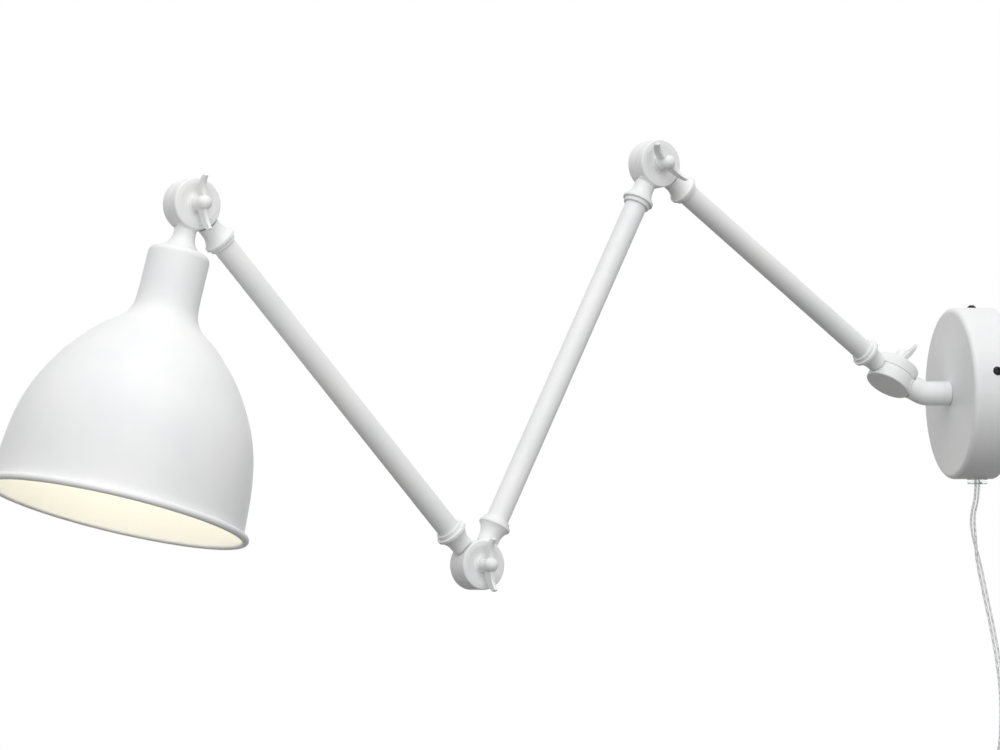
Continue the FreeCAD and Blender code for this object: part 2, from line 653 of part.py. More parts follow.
def wall_bracket():
    """A flat plate on the wall: a cross bar, a tongue up and down, and three lugs."""
    reach = CUP_R - CUP_WALL - BRACKET_LUG_ROOM
    bar_z = reach * math.sin(math.radians(CUP_SCREW_ANGLES[1]))
    bar_x = reach * math.cos(math.radians(CUP_SCREW_ANGLES[1])) - BRACKET_LUG_W / 2
    half = BRACKET_BAR_W / 2
    plate = box((-bar_x, bar_x), (-BRACKET_T, 0), (bar_z - half, bar_z + half))
    tongue = BRACKET_TONGUE_W / 2
    plate = plate.fuse(box((-tongue, tongue), (-BRACKET_T, 0),
                           (-BRACKET_TONGUE_DROP, reach - BRACKET_LUG_W / 2)))
    for angle in CUP_SCREW_ANGLES:
        plate = plate.fuse(bracket_lug(angle))
    plate = plate.removeSplitter()
    for side in (-1, 1):
        centre_x = side * WALL_SLOT_SPACING / 2
        run = WALL_SLOT_L / 2 - WALL_SLOT_R
        slot = box((centre_x - run, centre_x + run), (-BRACKET_T - OVER, OVER),
                   (bar_z - WALL_SLOT_R, bar_z + WALL_SLOT_R))
        for end in (-run, run):
            slot = slot.fuse(cylinder(WALL_SLOT_R, -BRACKET_T - OVER, OVER, AXIS_Y,
                                      V(centre_x + end, 0, bar_z)))
        plate = plate.cut(slot)
    return plate


def save_terminal_block():
    """A two-pole block on the bracket's tongue, with a screw at each wire's end."""
    back = -BRACKET_T
    front = back - BLOCK_T
    block = box((-BLOCK_W / 2, BLOCK_W / 2), (front, back),
                (-BLOCK_DROP - BLOCK_H / 2, -BLOCK_DROP + BLOCK_H / 2))
    middle_y = (front + back) / 2
    screws = []
    for x in (-BLOCK_PITCH / 2, BLOCK_PITCH / 2):
        block = block.cut(cylinder(BLOCK_BORE_R, -BLOCK_H, BLOCK_H, AXIS_Z,
                                   V(x, middle_y, -BLOCK_DROP)))
        for z in (-BLOCK_H / 4, BLOCK_H / 4):
            centre = V(x, front, -BLOCK_DROP + z)
            block = block.cut(cylinder(BLOCK_SCREW_R + SNUG_FIT, 0, BLOCK_T / 2, AXIS_Y, centre))
            screws.append(cylinder(BLOCK_SCREW_R, 0, BLOCK_SCREW_L, AXIS_Y, centre))
    save("terminal_block", block)
    save("terminal_screws", *screws)


def save_cord_grip():
    """The clear grip in the cup's lower wall and the nut inside that holds it."""
    down = V(0, 0, -1)
    centre = V(0, GRIP_Y, 0)
    face = CUP_R + GRIP_FLANGE_T
    grip = cylinder(GRIP_FLANGE_R, CUP_R, face, down, centre)
    grip = grip.fuse(cylinder(GRIP_SHANK_R, CUP_R - GRIP_SHANK_L, CUP_R, down, centre))
    grip = grip.removeSplitter()
    bore = cylinder(CORD_W / 2 + SNUG_FIT, CUP_R - GRIP_SHANK_L - OVER, face + OVER, down,
                    centre)
    slot = box((-GRIP_FLANGE_R - OVER, GRIP_FLANGE_R + OVER),
               (GRIP_Y - GRIP_SLOT_W / 2, GRIP_Y + GRIP_SLOT_W / 2),
               (-face - OVER, -face + GRIP_SLOT_DEPTH))
    save("cord_grip", grip.cut(bore).cut(slot))
    seat = CUP_R - CUP_WALL - LOOSE_FIT
    nut = cylinder(GRIP_NUT_R, seat - GRIP_NUT_T, seat, down, centre)
    inner_r = GRIP_SHANK_R + SNUG_FIT
    nut = nut.cut(cylinder(inner_r, seat - GRIP_NUT_T - OVER, seat + OVER, down, centre))
    wall = cylinder(CUP_R - CUP_WALL - LOOSE_FIT, -CUP_DEPTH, 0, AXIS_Y)
    save("cord_grip_nut", nut.common(wall))


# ---- cord ----
def tube_path(route):
    """Straight runs between a route's points, joined by tangent arcs as large as they allow."""
    edges = []
    radii = []
    at = route[0]
    for before, corner, after in zip(route, route[1:], route[2:]):
        back = before - corner
        ahead = after - corner
        shorter = min(back.Length, ahead.Length)
        half_turn = (math.pi - back.getAngle(ahead)) / 2
        take = ARC_SHARE * shorter
        radius = take / math.tan(half_turn)
        radii.append(radius)
        back.normalize()
        ahead.normalize()
        start = corner + back * take
        end = corner + ahead * take
        inward = (back + ahead).normalize()
        middle = corner + inward * (radius / math.cos(half_turn) - radius)
        edges.append(line(at, start))
        edges.append(arc(start, middle, end))
        at = end
    edges.append(line(at, route[-1]))
    return Part.Wire(edges), radii


def cord_tube(name, route):
    """A cord's tube along a route; prints its length, radii and volume against its section."""
    path, radii = tube_path(route)
    section = Part.Wire([Part.Circle(route[0], route[1] - route[0], CORD_W / 2).toShape()])
    tube = path.makePipeShell([section], True, False)
    ratio = tube.Volume / (math.pi * CORD_W ** 2 / 4 * path.Length)
    print(name, "length", round(path.Length, 1), "radii", [round(r, 1) for r in radii],
          "volume ratio", round(ratio, 4))
    return tube


def coil_point(turn):
    """A point of the coil and its direction, a number of turns from its start.

    The radius runs in and out again, one layer each way, and the coil climbs to the next
    layer in the half turn where the radius turns round.
    """
    def position(t):
        layer = min(int(t / COIL_TURNS), COIL_LAYERS - 1)
        along = t - layer * COIL_TURNS
        shrink = along if layer % 2 == 0 else COIL_TURNS - along
        radius = COIL_OUTER_R - COIL_PITCH * shrink
        climbed = 0.0
        for k in range(1, COIL_LAYERS):
            climbed += min(max((t - k * COIL_TURNS + 0.25) / 0.5, 0.0), 1.0)
        angle = 2 * math.pi * t
        return coil_centre + V(radius * math.cos(angle), -COIL_PITCH * climbed,
                               -radius * math.sin(angle))
    angle = 2 * math.pi * turn
    tangent = V(-math.sin(angle), 0, -math.cos(angle))
    return position(turn), tangent


def biarc(start, start_dir, end, end_dir):
    """Two tangent arcs from one point and direction to another."""
    chord = end - start
    total = start_dir + end_dir
    a = 2 * (1 - start_dir.dot(end_dir))
    b = 2 * chord.dot(total)
    c = -chord.dot(chord)
    reach = (-b + math.sqrt(b * b - 4 * a * c)) / (2 * a)
    joint = (start + start_dir * reach + end - end_dir * reach) * 0.5
    edges = []
    for first, direction, last in ((start, start_dir, joint), (end, end_dir * -1, joint)):
        curve = Part.Arc(first, _arc_middle(first, direction, last), last).toShape()
        edges.append(curve)
    return edges


def _arc_middle(start, direction, end):
    """The middle point of the arc that leaves start along direction and reaches end."""
    chord = end - start
    half_chord = chord.Length / 2
    chord_dir = V(chord).normalize()
    half_angle = direction.getAngle(chord_dir)
    side = direction - chord_dir * direction.dot(chord_dir)
    side.normalize()
    return (start + end) * 0.5 + side * (half_chord * math.tan(half_angle / 2))


def coil_least_gap(path):
    """The least gap from the coil's tube to itself, measured on points along its path."""
    count = 1600
    points = path.discretize(count)
    step = path.Length / (count - 1)
    skip = int(math.pi * CORD_W / step)
    least = 1e9
    for i, a in enumerate(points):
        for b in points[i + skip:]:
            if abs(a.x - b.x) < least and abs(a.z - b.z) < least:
                least = min(least, a.distanceToPoint(b))
    return least - CORD_W


def cord_coil():
    """The put-away length as one tube, with a straight end each side."""
    turns = COIL_LAYERS * COIL_TURNS
    first, first_dir = coil_point(0)
    last, last_dir = coil_point(turns)
    edges = [line(first - first_dir * CORD_W, first)]
    steps = [k / 4 for k in range(4 * turns + 1)]
    for here, there in zip(steps, steps[1:]):
        edges += biarc(*coil_point(here), *coil_point(there))
    edges.append(line(last, last + last_dir * CORD_W))
    path = Part.Wire(Part.__sortEdges__(edges))
    shell = Part.BRepOffsetAPI.MakePipeShell(path)
    start = first - first_dir * CORD_W
    shell.add(Part.Wire([Part.Circle(start, first_dir, CORD_W / 2).toShape()]))
    shell.build()
    shell.makeSolid()
    tube = shell.shape()
    ratio = tube.Volume / (math.pi * CORD_W ** 2 / 4 * path.Length)
    print("cord_coil length", round(path.Length, 1), "least gap",
          round(coil_least_gap(path), 2), "volume ratio", round(ratio, 4))
    return tube


def coil_tie():
    """A strap round the bundle, on the side away from the cord's ends."""
    inner_r = COIL_OUTER_R - COIL_PITCH * COIL_TURNS
    room = CORD_W / 2 + LOOSE_FIT
    x_range = (coil_centre.x - COIL_OUTER_R - room, coil_centre.x - inner_r + room)
    y_range = (coil_centre.y - coil_depth - room, coil_centre.y + room)
    z_range = (coil_centre.z - TIE_W / 2, coil_centre.z + TIE_W / 2)
    outer = rounded_box((x_range[0] - TIE_T, x_range[1] + TIE_T),
                        (y_range[0] - TIE_T, y_range[1] + TIE_T), z_range,
                        TIE_T + 1, AXIS_Z)
    return outer.cut(rounded_box(x_range, y_range, z_range, 1, AXIS_Z))


# ---- in-line switch ----
def switch_block(y_range, inset):
    """The switch's outer form between two depths, drawn in by inset."""
    x, _, top = switch_top
    return rounded_box((x - SWITCH_W / 2 + inset, x + SWITCH_W / 2 - inset), y_range,
                       (top - SWITCH_L + inset, top - inset), SWITCH_EDGE - inset, AXIS_Y)


def switch_posts(y_range, middle_z, radius):
    """A round post or bore at each of the switch's two screws."""
    reach = SWITCH_L / 2 - SWITCH_POST_INSET
    return [cylinder(radius, y_range[0], y_range[1], AXIS_Y,
                     V(switch_top.x, 0, middle_z + side * reach)) for side in (-1, 1)]


def switch_cover(front, split, pin_y, middle_z):
    """The front half, with the rocker's window and the cheeks that hold its pin."""
    x = switch_top.x
    half_w = ROCKER_W / 2 + LOOSE_FIT
    half_l = ROCKER_L / 2 + LOOSE_FIT
    cover = switch_block((front, split), 0)
    cover = cover.cut(switch_block((front + SWITCH_WALL, split + OVER), SWITCH_WALL))
    cover = cover.cut(box((x - half_w, x + half_w), (front - OVER, front + SWITCH_WALL + OVER),
                          (middle_z - half_l, middle_z + half_l)))
    depth = pin_y + ROCKER_PIN_R + ROCKER_CHEEK_T
    for side in (-1, 1):
        near = x + side * half_w
        far = near + side * ROCKER_CHEEK_T
        cheek = box((min(near, far), max(near, far)), (front + SWITCH_WALL / 2, depth),
                    (middle_z - ROCKER_CHEEK_W / 2, middle_z + ROCKER_CHEEK_W / 2))
        cover = cover.fuse(cheek)
    pin_hole = cylinder(ROCKER_PIN_R + RUNNING_FIT, x - ROCKER_PIN_L / 2 - FACE_GAP,
                        x + ROCKER_PIN_L / 2 + FACE_GAP, AXIS_X, V(0, pin_y, middle_z))
    cover = cover.cut(pin_hole)
    cover = cover.fuse(switch_posts((front + SWITCH_WALL / 2, split), middle_z, SWITCH_POST_R))
    bores = switch_posts((split - SWITCH_SCREW_BITE - OVER, split), middle_z,
                         SWITCH_SCREW_R + SNUG_FIT)
    return cover.cut(bores)


def switch_base(split, back, middle_z):
    """The back half, with sunk holes for the two screws."""
    base = switch_block((split, back), 0)
    floor = back - SWITCH_WALL
    base = base.cut(switch_block((split - OVER, floor), SWITCH_WALL))
    base = base.fuse(switch_posts((split + SNUG_FIT, back - SWITCH_WALL / 2), middle_z,
                                  SWITCH_POST_R))
    base = base.cut(switch_posts((split - OVER, back + OVER), middle_z,
                                 SWITCH_SCREW_R + SNUG_FIT))
    seat = back - SWITCH_HEAD_SINK - SWITCH_HEAD_T - SNUG_FIT
    return base.cut(switch_posts((seat, back + OVER), middle_z, SWITCH_HEAD_R + LOOSE_FIT))


def save_switch():
    """A base, a cover, a rocker on its pin, and the screws from behind."""
    x, y, top = switch_top
    back = y + SWITCH_T / 2
    split = back - SWITCH_SPLIT
    front = y - SWITCH_T / 2
    middle_z = top - SWITCH_L / 2
    pin_y = front + SWITCH_WALL + ROCKER_PIN_DEPTH
    cord_hole = cylinder(CORD_W / 2 + SNUG_FIT, top - SWITCH_L - OVER, top + OVER, AXIS_Z,
                         V(x, y, 0))
    base = switch_base(split, back, middle_z).cut(cord_hole)
    cover = switch_cover(front, split, pin_y, middle_z).cut(cord_hole)
    save("switch_base", base.removeSplitter())
    save("switch_cover", cover.removeSplitter())
    head_top = back - SWITCH_HEAD_SINK
    shanks = switch_posts((split - SWITCH_SCREW_BITE, head_top), middle_z, SWITCH_SCREW_R)
    heads = switch_posts((head_top - SWITCH_HEAD_T, head_top), middle_z, SWITCH_HEAD_R)
    save("switch_screws", *[a.fuse(b).removeSplitter() for a, b in zip(shanks, heads)])
    save("switch_rocker", rocker(x, front, pin_y, middle_z))


def rocker(x, front, pin_y, middle_z):
    """The rocker, crowned, tilted about its pin with its lower end pressed in."""
    half_l = ROCKER_L / 2 - LOOSE_FIT
    half_keel = ROCKER_KEEL_W / 2
    keel = pin_y + ROCKER_KEEL
    lip = front - ROCKER_LIP
    skirt = front + ROCKER_SKIRT
    bottom = middle_z - half_l
    top = middle_z + half_l
    edges = [arc(V(x, lip, bottom), V(x, front - ROCKER_CROWN, middle_z), V(x, lip, top))]
    edges += outline([V(x, lip, top), V(x, skirt, top), V(x, keel, middle_z + half_keel),
                      V(x, keel, middle_z - half_keel), V(x, skirt, bottom),
                      V(x, lip, bottom)])
    face = Part.Face(Part.Wire(edges))
    width = ROCKER_W - LOOSE_FIT
    face.translate(V(-width / 2, 0, 0))
    pin = cylinder(ROCKER_PIN_R, x - ROCKER_PIN_L / 2, x + ROCKER_PIN_L / 2, AXIS_X,
                   V(0, pin_y, middle_z))
    body = face.extrude(AXIS_X * width).fuse(pin).removeSplitter()
    body.rotate(V(x, pin_y, middle_z), AXIS_X, ROCKER_TILT)
    return body


# ---- plug ----
def save_plug():
    """A flat two-pin plug on the cord's end, pins down."""
    x, y, top = cord_end
    shoulder = top - PLUG_SNOUT_L
    end = shoulder - PLUG_L
    body = rounded_box((x - PLUG_W / 2, x + PLUG_W / 2), (y - PLUG_T / 2, y + PLUG_T / 2),
                       (end, shoulder), PLUG_EDGE, AXIS_Z)
    snout = Part.makeCone(PLUG_SNOUT_R, PLUG_SNOUT_TIP_R, PLUG_SNOUT_L, V(x, y, shoulder), AXIS_Z)
    pins = []
    body = body.fuse(snout).removeSplitter()
    for side in (-1, 1):
        centre = V(x + side * PIN_SPACING / 2, y, 0)
        socket = cylinder(PIN_ROOT_R + SNUG_FIT, end - OVER, end + PIN_ROOT, AXIS_Z, centre)
        body = body.cut(socket)
        pin = cylinder(PIN_R, end - PIN_L, end, AXIS_Z, centre)
        pins.append(pin.fuse(cylinder(PIN_ROOT_R, end, end + PIN_ROOT, AXIS_Z, centre)))
    save("plug_body", body)
    save("plug_pins", *pins)


# ---- shade and lampholder: local X along the shade's axis, from the shade joint ----
def shade_curve(inset):
    """The shade's side from its neck to its rim, drawn in by inset along each radius."""
    def at(pair):
        return V(pair[0], pair[1] - inset, 0)
    neck_end = V(SHADE_NECK_END, SHADE_NECK_R - inset, 0)
    throat = Part.BSplineCurve()
    throat.interpolate([neck_end, at(SHADE_WAIST), at(SHADE_SHOULDER), at(SHADE_CREST)]
                       + [at(p) for p in SHADE_SIDE] + [at(SHADE_LOW), at(SHADE_RIM)])
    return throat.toShape(), neck_end, at(SHADE_RIM)


def shade():
    """The spun bell: flat top, straight neck, rounded shoulder and a rolled rim."""
    bend = SHADE_CORNER * (1 - math.sqrt(0.5))
    outer, neck_end, rim = shade_curve(0)
    inner, inner_neck, inner_rim = shade_curve(SHADE_WALL)
    top = SHADE_TOP
    under = SHADE_TOP + SHADE_WALL
    corner_in = SHADE_CORNER - SHADE_WALL
    bend_in = corner_in * (1 - math.sqrt(0.5))
    inner_r = SHADE_NECK_R - SHADE_WALL
    hole = NIPPLE_R + SNUG_FIT
    edges = outline([V(under, hole, 0), V(top, hole, 0), V(top, SHADE_NECK_R - SHADE_CORNER, 0)])
    edges.append(arc(V(top, SHADE_NECK_R - SHADE_CORNER, 0),
                     V(top + bend, SHADE_NECK_R - bend, 0),
                     V(top + SHADE_CORNER, SHADE_NECK_R, 0)))
    edges += [line(V(top + SHADE_CORNER, SHADE_NECK_R, 0), neck_end), outer,
              line(rim, inner_rim), inner,
              line(inner_neck, V(under + corner_in, inner_r, 0))]
    edges.append(arc(V(under + corner_in, inner_r, 0), V(under + bend_in, inner_r - bend_in, 0),
                     V(under, inner_r - corner_in, 0)))
    edges.append(line(V(under, inner_r - corner_in, 0), V(under, hole, 0)))
    bell = revolved(edges, AXIS_X)
    bead = Part.makeTorus(BEAD_AT[1], BEAD_R, V(BEAD_AT[0], 0, 0), AXIS_X)
    return bell.fuse(bead).removeSplitter()


def ring(outer, inner, start, end):
    """A round ring along local X."""
    bore = cylinder(inner, start - OVER, end + OVER, AXIS_X)
    return cylinder(outer, start, end, AXIS_X).cut(bore)


def save_shade():
    """The shade, its knuckle, and the lampholder inside its neck."""
    place = frame(shade_joint, shade_line, elbow_axis)
    save("shade_knuckle", placed(shade_knuckle(), place))
    save("shade", placed(shade(), place))
    under = SHADE_TOP + SHADE_WALL
    nipple_start = SHADE_TOP - NIPPLE_SEAT
    nipple = ring(NIPPLE_R, NIPPLE_BORE_R, nipple_start, nipple_start + NIPPLE_L)
    save("shade_nipple", placed(nipple, place))
    cap_end = under + HOLDER_CAP_L
    cap = cylinder(HOLDER_R, under, cap_end, AXIS_X)
    rim = [e for e in cap.Edges if abs(e.CenterOfMass.x - under) < 0.01]
    cap = cap.makeFillet(HOLDER_CORNER, rim)
    room = cylinder(HOLDER_R - HOLDER_WALL, under + HOLDER_WALL, cap_end + OVER, AXIS_X)
    rim = [e for e in room.Edges if abs(e.CenterOfMass.x - under - HOLDER_WALL) < 0.01]
    cap = cap.cut(room.makeFillet(HOLDER_CORNER - HOLDER_WALL, rim))
    cap = cap.cut(cylinder(NIPPLE_R + SNUG_FIT, under - OVER, cap_end, AXIS_X))
    save("lampholder_cap", placed(cap, place))
    nut_start = under + HOLDER_WALL
    nut = hexagon(NIPPLE_NUT_AF, nut_start, nut_start + NIPPLE_NUT_T, NIPPLE_R + SNUG_FIT)
    save("nipple_nut", placed(nut, place))
    body_end = cap_end + HOLDER_BODY_L
    body = ring(HOLDER_R, CORE_R + SNUG_FIT, cap_end, body_end)
    body = body.fuse(ring(HOLDER_LIP_R, CORE_R + SNUG_FIT, body_end - HOLDER_LIP_T, body_end))
    save("lampholder_body", placed(body.removeSplitter(), place))
    socket_start = cap_end + CORE_T
    core = cylinder(CORE_R, cap_end, socket_start, AXIS_X)
    core = core.cut(cylinder(CONTACT_R + SNUG_FIT, socket_start - CONTACT_H,
                             socket_start + OVER, AXIS_X))
    save("lampholder_core", placed(core, place))
    socket = ring(CORE_R, SOCKET_R, socket_start, socket_start + SOCKET_L)
    save("lamp_socket", placed(socket, place))
    contact = cylinder(CONTACT_R, socket_start - CONTACT_H, socket_start - SNUG_FIT, AXIS_X)
    save("socket_contact", placed(contact, place))


# ---- the whole lamp ----
os.makedirs("parts", exist_ok=True)
save("wall_bracket", wall_bracket())
save("wall_cup", wall_cup())
save("cup_screws", *[cup_screw(angle) for angle in CUP_SCREW_ANGLES])
save_terminal_block()
save_cord_grip()
save("supply_cord", cord_tube("supply_cord", [V(*p) for p in CORD_ROUTE]))
save("switch_lead", cord_tube("switch_lead", [switch_foot + V(*p) for p in LEAD_STEPS]))
save("plug_lead", cord_tube("plug_lead", [coil_end + V(*p) for p in TAIL_STEPS]))
save("cord_coil", cord_coil())
save("coil_tie", coil_tie())
save_switch()
save_plug()
save_stem()
save_arm("rear_arm", wall_joint, rear_line, REAR_ARM,
         ("lower_knuckle", wall_axis, 1, SEAM_RISE), ("upper_knuckle", elbow_axis, -1, 0.0))
save_arm("middle_arm", upper_elbow, middle_line, MIDDLE_ARM,
         ("upper_knuckle", elbow_axis, 1, 0.0), ("lower_knuckle", elbow_axis, 1, 0.0))
save_arm("front_arm", lower_elbow, front_line, FRONT_ARM,
         ("lower_knuckle", elbow_axis, -1, 0.0), ("upper_knuckle", elbow_axis, -1, 0.0))
save_shade()
save_pivot("wall_joint", wall_seam, rear_line, wall_axis, NUT_TURN_WALL)
save_pivot("upper_elbow", upper_elbow, middle_line, elbow_axis, NUT_TURN_UPPER)
save_pivot("lower_elbow", lower_elbow, middle_line, elbow_axis, NUT_TURN_LOWER)
save_pivot("shade_joint", shade_joint, shade_line, elbow_axis, NUT_TURN_SHADE)
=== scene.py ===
"""Articulating wall lamp: the visible surfaces, cords, finishes, light and camera.

Everything is in metres, in the lamp's own frame: the wall is the plane Y = 0, the lamp stands
out along -Y and +Z is up. The frame gives the joints; lengths below are written in millimetres.
"""

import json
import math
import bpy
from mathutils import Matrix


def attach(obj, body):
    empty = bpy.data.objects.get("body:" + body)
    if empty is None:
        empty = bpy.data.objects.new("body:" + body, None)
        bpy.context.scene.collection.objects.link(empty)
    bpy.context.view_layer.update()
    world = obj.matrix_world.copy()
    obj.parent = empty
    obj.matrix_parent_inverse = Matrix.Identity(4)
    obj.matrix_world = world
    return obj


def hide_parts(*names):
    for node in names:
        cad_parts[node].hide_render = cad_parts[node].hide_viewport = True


bl_info = {
    "name": "Articulating wall lamp",
    "version": (1, 0, 0),
    "blender": (4, 5, 0),
    "location": "View3D > Sidebar > Wall Lamp",
    "description": "Dresses the lamp's frame with finished surfaces, cords, light and a camera",
    "category": "Object",
}

import bmesh
import bpy
import numpy as np
from bpy.props import FloatProperty, FloatVectorProperty, IntProperty, PointerProperty
from mathutils import Vector

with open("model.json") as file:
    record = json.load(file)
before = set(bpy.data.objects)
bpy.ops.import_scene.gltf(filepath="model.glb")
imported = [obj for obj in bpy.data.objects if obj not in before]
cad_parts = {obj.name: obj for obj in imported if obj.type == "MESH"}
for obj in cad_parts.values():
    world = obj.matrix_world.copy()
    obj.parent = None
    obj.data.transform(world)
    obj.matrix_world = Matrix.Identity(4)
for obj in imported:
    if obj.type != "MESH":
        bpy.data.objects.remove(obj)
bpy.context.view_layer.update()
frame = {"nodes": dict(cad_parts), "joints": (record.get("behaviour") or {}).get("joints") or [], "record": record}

MM = 0.001
JOINTS = {joint["name"]: joint for joint in frame["joints"]}
MOUNTS = {mount["name"]: mount for mount in frame["record"]["mounts"]}


# ---- values a user may change ----
def length(name, millimetres, description):
    """A length property, written in millimetres and kept in metres."""
    return FloatProperty(name=name, description=description, default=millimetres * MM,
                         min=0.0, subtype="DISTANCE", unit="LENGTH", precision=5)


def degrees(name, value, description):
    """An angle property, written in degrees and kept in radians."""
    return FloatProperty(name=name, description=description, default=math.radians(value),
                         subtype="ANGLE", unit="ROTATION")


def linear(code):
    """An sRGB hex value as linear red, green and blue."""
    parts = np.array([int(code[i:i + 2], 16) for i in (1, 3, 5)]) / 255
    toe = parts / 12.92
    curve = ((parts + 0.055) / 1.055) ** 2.4
    return tuple(float(x) for x in np.where(parts <= 0.04045, toe, curve))


def colour(name, code, description):
    """A colour property, written as an sRGB hex value."""
    return FloatVectorProperty(name=name, description=description, default=linear(code),
                               subtype="COLOR", size=3, min=0.0, max=1.0)


def power(name, watts, description):
    """A light's power, in watts."""
    return FloatProperty(name=name, description=description, default=watts, min=0.0,
                         subtype="POWER", unit="POWER")


def offsets(name, metres):
    """A light's place from the point looked at."""
    return FloatVectorProperty(name=name, default=metres, subtype="XYZ", unit="LENGTH",
                               description="Towards the camera, to its right, and up")


class KnuckleSizes(bpy.types.PropertyGroup):
    """The lap joints and the necks that carry the arms."""
    disc_r: length("Disc radius", 17.5, "Radius of each disc")
    half_t: length("Half thickness", 8.9, "From the seam to a disc's outer face")
    gap: length("Seam", 0.15, "From the seam's middle plane to each disc")
    disc_edge: length("Disc edge", 1.2, "Rounding of a disc's outer edge")
    dish_r: length("Dish radius", 13.6, "Outer edge of the shallow dish under the wing nut")
    dish_floor_r: length("Dish floor", 8.6, "Radius of the dish's flat floor")
    dish_depth: length("Dish depth", 1.2, "Depth of the dish")
    stud_r: length("Stud hole", 3.05, "Radius of the hole that the stud goes through")
    stud_floor: length("Stud floor", 2.0, "Metal left under the stud")
    neck_r: length("Neck radius", 7.5, "Radius of the neck beside the disc")
    neck_slit: length("Neck slit", 1.1, "Gap between a neck and the other disc")
    neck_root: length("Neck root", 1.5, "How deep a neck starts inside its own disc")
    neck_fillet: length("Neck fillet", 1.4, "Rounding where a neck meets its disc")
    neck_straight: length("Neck straight", 21.0, "From the joint to where the neck flares")
    flare_r: length("Flare radius", 10.9, "Radius of the flare at the rim")
    foot_r: length("Foot radius", 11.8, "Radius of the shade knuckle's foot")
    rim_r: length("Rim radius", 11.4, "Radius of the rim round the flare")
    rim_at: length("Rim place", 30.3, "From the joint to the rim")
    rim_t: length("Rim thickness", 2.1, "Thickness of the rim")
    ring_r: length("Ring radius", 9.7, "Radius of the ring that the tube goes into")
    ring_t: length("Ring length", 3.1, "Length of that ring")
    tube_r: length("Tube radius", 8.05, "Radius of the ring's bore")
    socket: length("Ring bore", 0.9, "Depth of the ring's bore that shows round the tube")
    seam_rise: length("Seam rise", 2.3, "How far the wall joint's seam lies above its arm's line")


class TubeSizes(bpy.types.PropertyGroup):
    """The arms' tubes."""
    radius: length("Tube radius", 8.0, "Outer radius of an arm's tube")
    wall: length("Tube wall", 1.0, "Thickness of its wall")
    start: length("Tube start", 31.5, "From a joint to the end of the tube")


class StemSizes(bpy.types.PropertyGroup):
    """The bent stem between the cup and the wall joint."""
    rod_r: length("Rod radius", 9.3, "Radius of the stem")
    reach: length("Reach", 20.3, "From the cup's face to the corner of the bend")
    neck: length("Neck", 27.8, "From that corner to the wall joint")
    bend_r: length("Bend radius", 11.5, "Radius of the bend, on the centre line")
    cup_depth: length("Cup depth", 33.0, "From the wall to the cup's face")
    face_gap: length("Face gap", 0.3, "Between the stem's shoulder and the cup")
    shank_r: length("Shank radius", 5.0, "Radius of the hollow shank through the cup")
    shank_bore: length("Shank bore", 3.2, "Radius of the shank's bore")
    shank_l: length("Shank length", 13.0, "How far the shank reaches into the cup")
    groove: length("Seam groove", 0.22, "Depth of the fine seam where the neck meets the rod")


class NutSizes(bpy.types.PropertyGroup):
    """The cast wing nuts."""
    seat: length("Seat", 9.1, "From the joint's seam to the nut's foot")
    hub_r: length("Hub radius", 5.2, "Radius of the ball that ends the hub")
    hub_h: length("Hub height", 13.2, "From the foot to the top of the hub's ball")
    foot_r: length("Foot radius", 5.0, "Radius of the foot that turns on the washer")
    bore_r: length("Bore radius", 3.05, "Radius of the blind thread")
    bore_depth: length("Bore depth", 7.6, "Depth of the blind thread")
    wing_reach: length("Wing reach", 19.0, "From the nut's axis to a wing's tip")
    wing_rise: length("Wing rise", 15.0, "Height of the tips above the foot")
    root_low: length("Root low", 1.4, "Height of a wing's lower edge at the hub")
    root_high: length("Root high", 10.6, "Height of a wing's upper edge at the hub")
    tip_width: length("Tip width", 3.8, "Width of a blade at its tip")
    root_t: length("Root thickness", 4.4, "Thickness of a blade where it leaves the hub")
    tip_t: length("Tip thickness", 2.5, "Thickness of a blade near its tip")
    cup: length("Blade cup", 0.9, "How far a blade bows out of its plane")
    turn_wall: degrees("Wall nut", 75.0, "How far the wall joint's nut is turned from its arm")
    turn_upper: degrees("Upper nut", 76.4, "The same for the upper elbow")
    turn_lower: degrees("Lower nut", 29.4, "The same for the lower elbow")
    turn_shade: degrees("Shade nut", 20.0, "The same for the shade joint")


class FittingSizes(bpy.types.PropertyGroup):
    """The screws and the cord grip in the cup's wall."""
    cup_r: length("Cup radius", 66.0, "Radius of the cup's wall")
    screw_out: length("Screw place", 15.0, "From the wall to the screws' axes")
    head_r: length("Head radius", 3.5, "Radius of a screw's head")
    head_h: length("Head height", 2.2, "Height of a screw's domed head")
    cross_w: length("Cross width", 0.55, "Half the width of the cross recess")
    cross_reach: length("Cross reach", 2.0, "From the head's middle to the recess's ends")
    cross_depth: length("Cross depth", 1.1, "Depth of the cross recess")
    shank_r: length("Screw shank", 2.0, "Radius of a screw's shank")
    shank_l: length("Shank length", 8.0, "How far screws and grip reach into the cup")
    grip_out: length("Grip place", 10.5, "From the wall to the grip's axis")
    flange_r: length("Flange radius", 8.0, "Radius of the grip's flange")
    flange_t: length("Flange thickness", 3.8, "Thickness of the grip's flange")
    grip_r: length("Grip shank", 5.5, "Radius of the grip's shank")
    bore_r: length("Grip bore", 2.55, "Radius of the hole for the cord")
    notch: length("Notch", 1.6, "Depth of the groove between the grip's lobes")


class ShadeSizes(bpy.types.PropertyGroup):
    """The spun shade: distances are from the shade joint, along the shade's axis."""
    top: length("Top", 32.6, "Distance to the flat top")
    wall: length("Wall", 0.8, "Thickness of the metal")
    corner: length("Corner", 5.0, "Rounding of the top's edge")
    hole_r: length("Hole", 5.3, "Radius of the hole for the threaded nipple")
    neck_r: length("Neck radius", 20.9, "Radius of the straight neck")
    neck_end: length("Neck end", 60.0, "Distance to the end of the straight neck")
    bead_r: length("Bead", 2.5, "Radius of the rolled rim's section")
    bead_at: length("Bead place", 212.6, "Distance to the rolled rim's centre")
    bead_out: length("Bead radius", 86.4, "From the shade's axis to the rolled rim's centre")


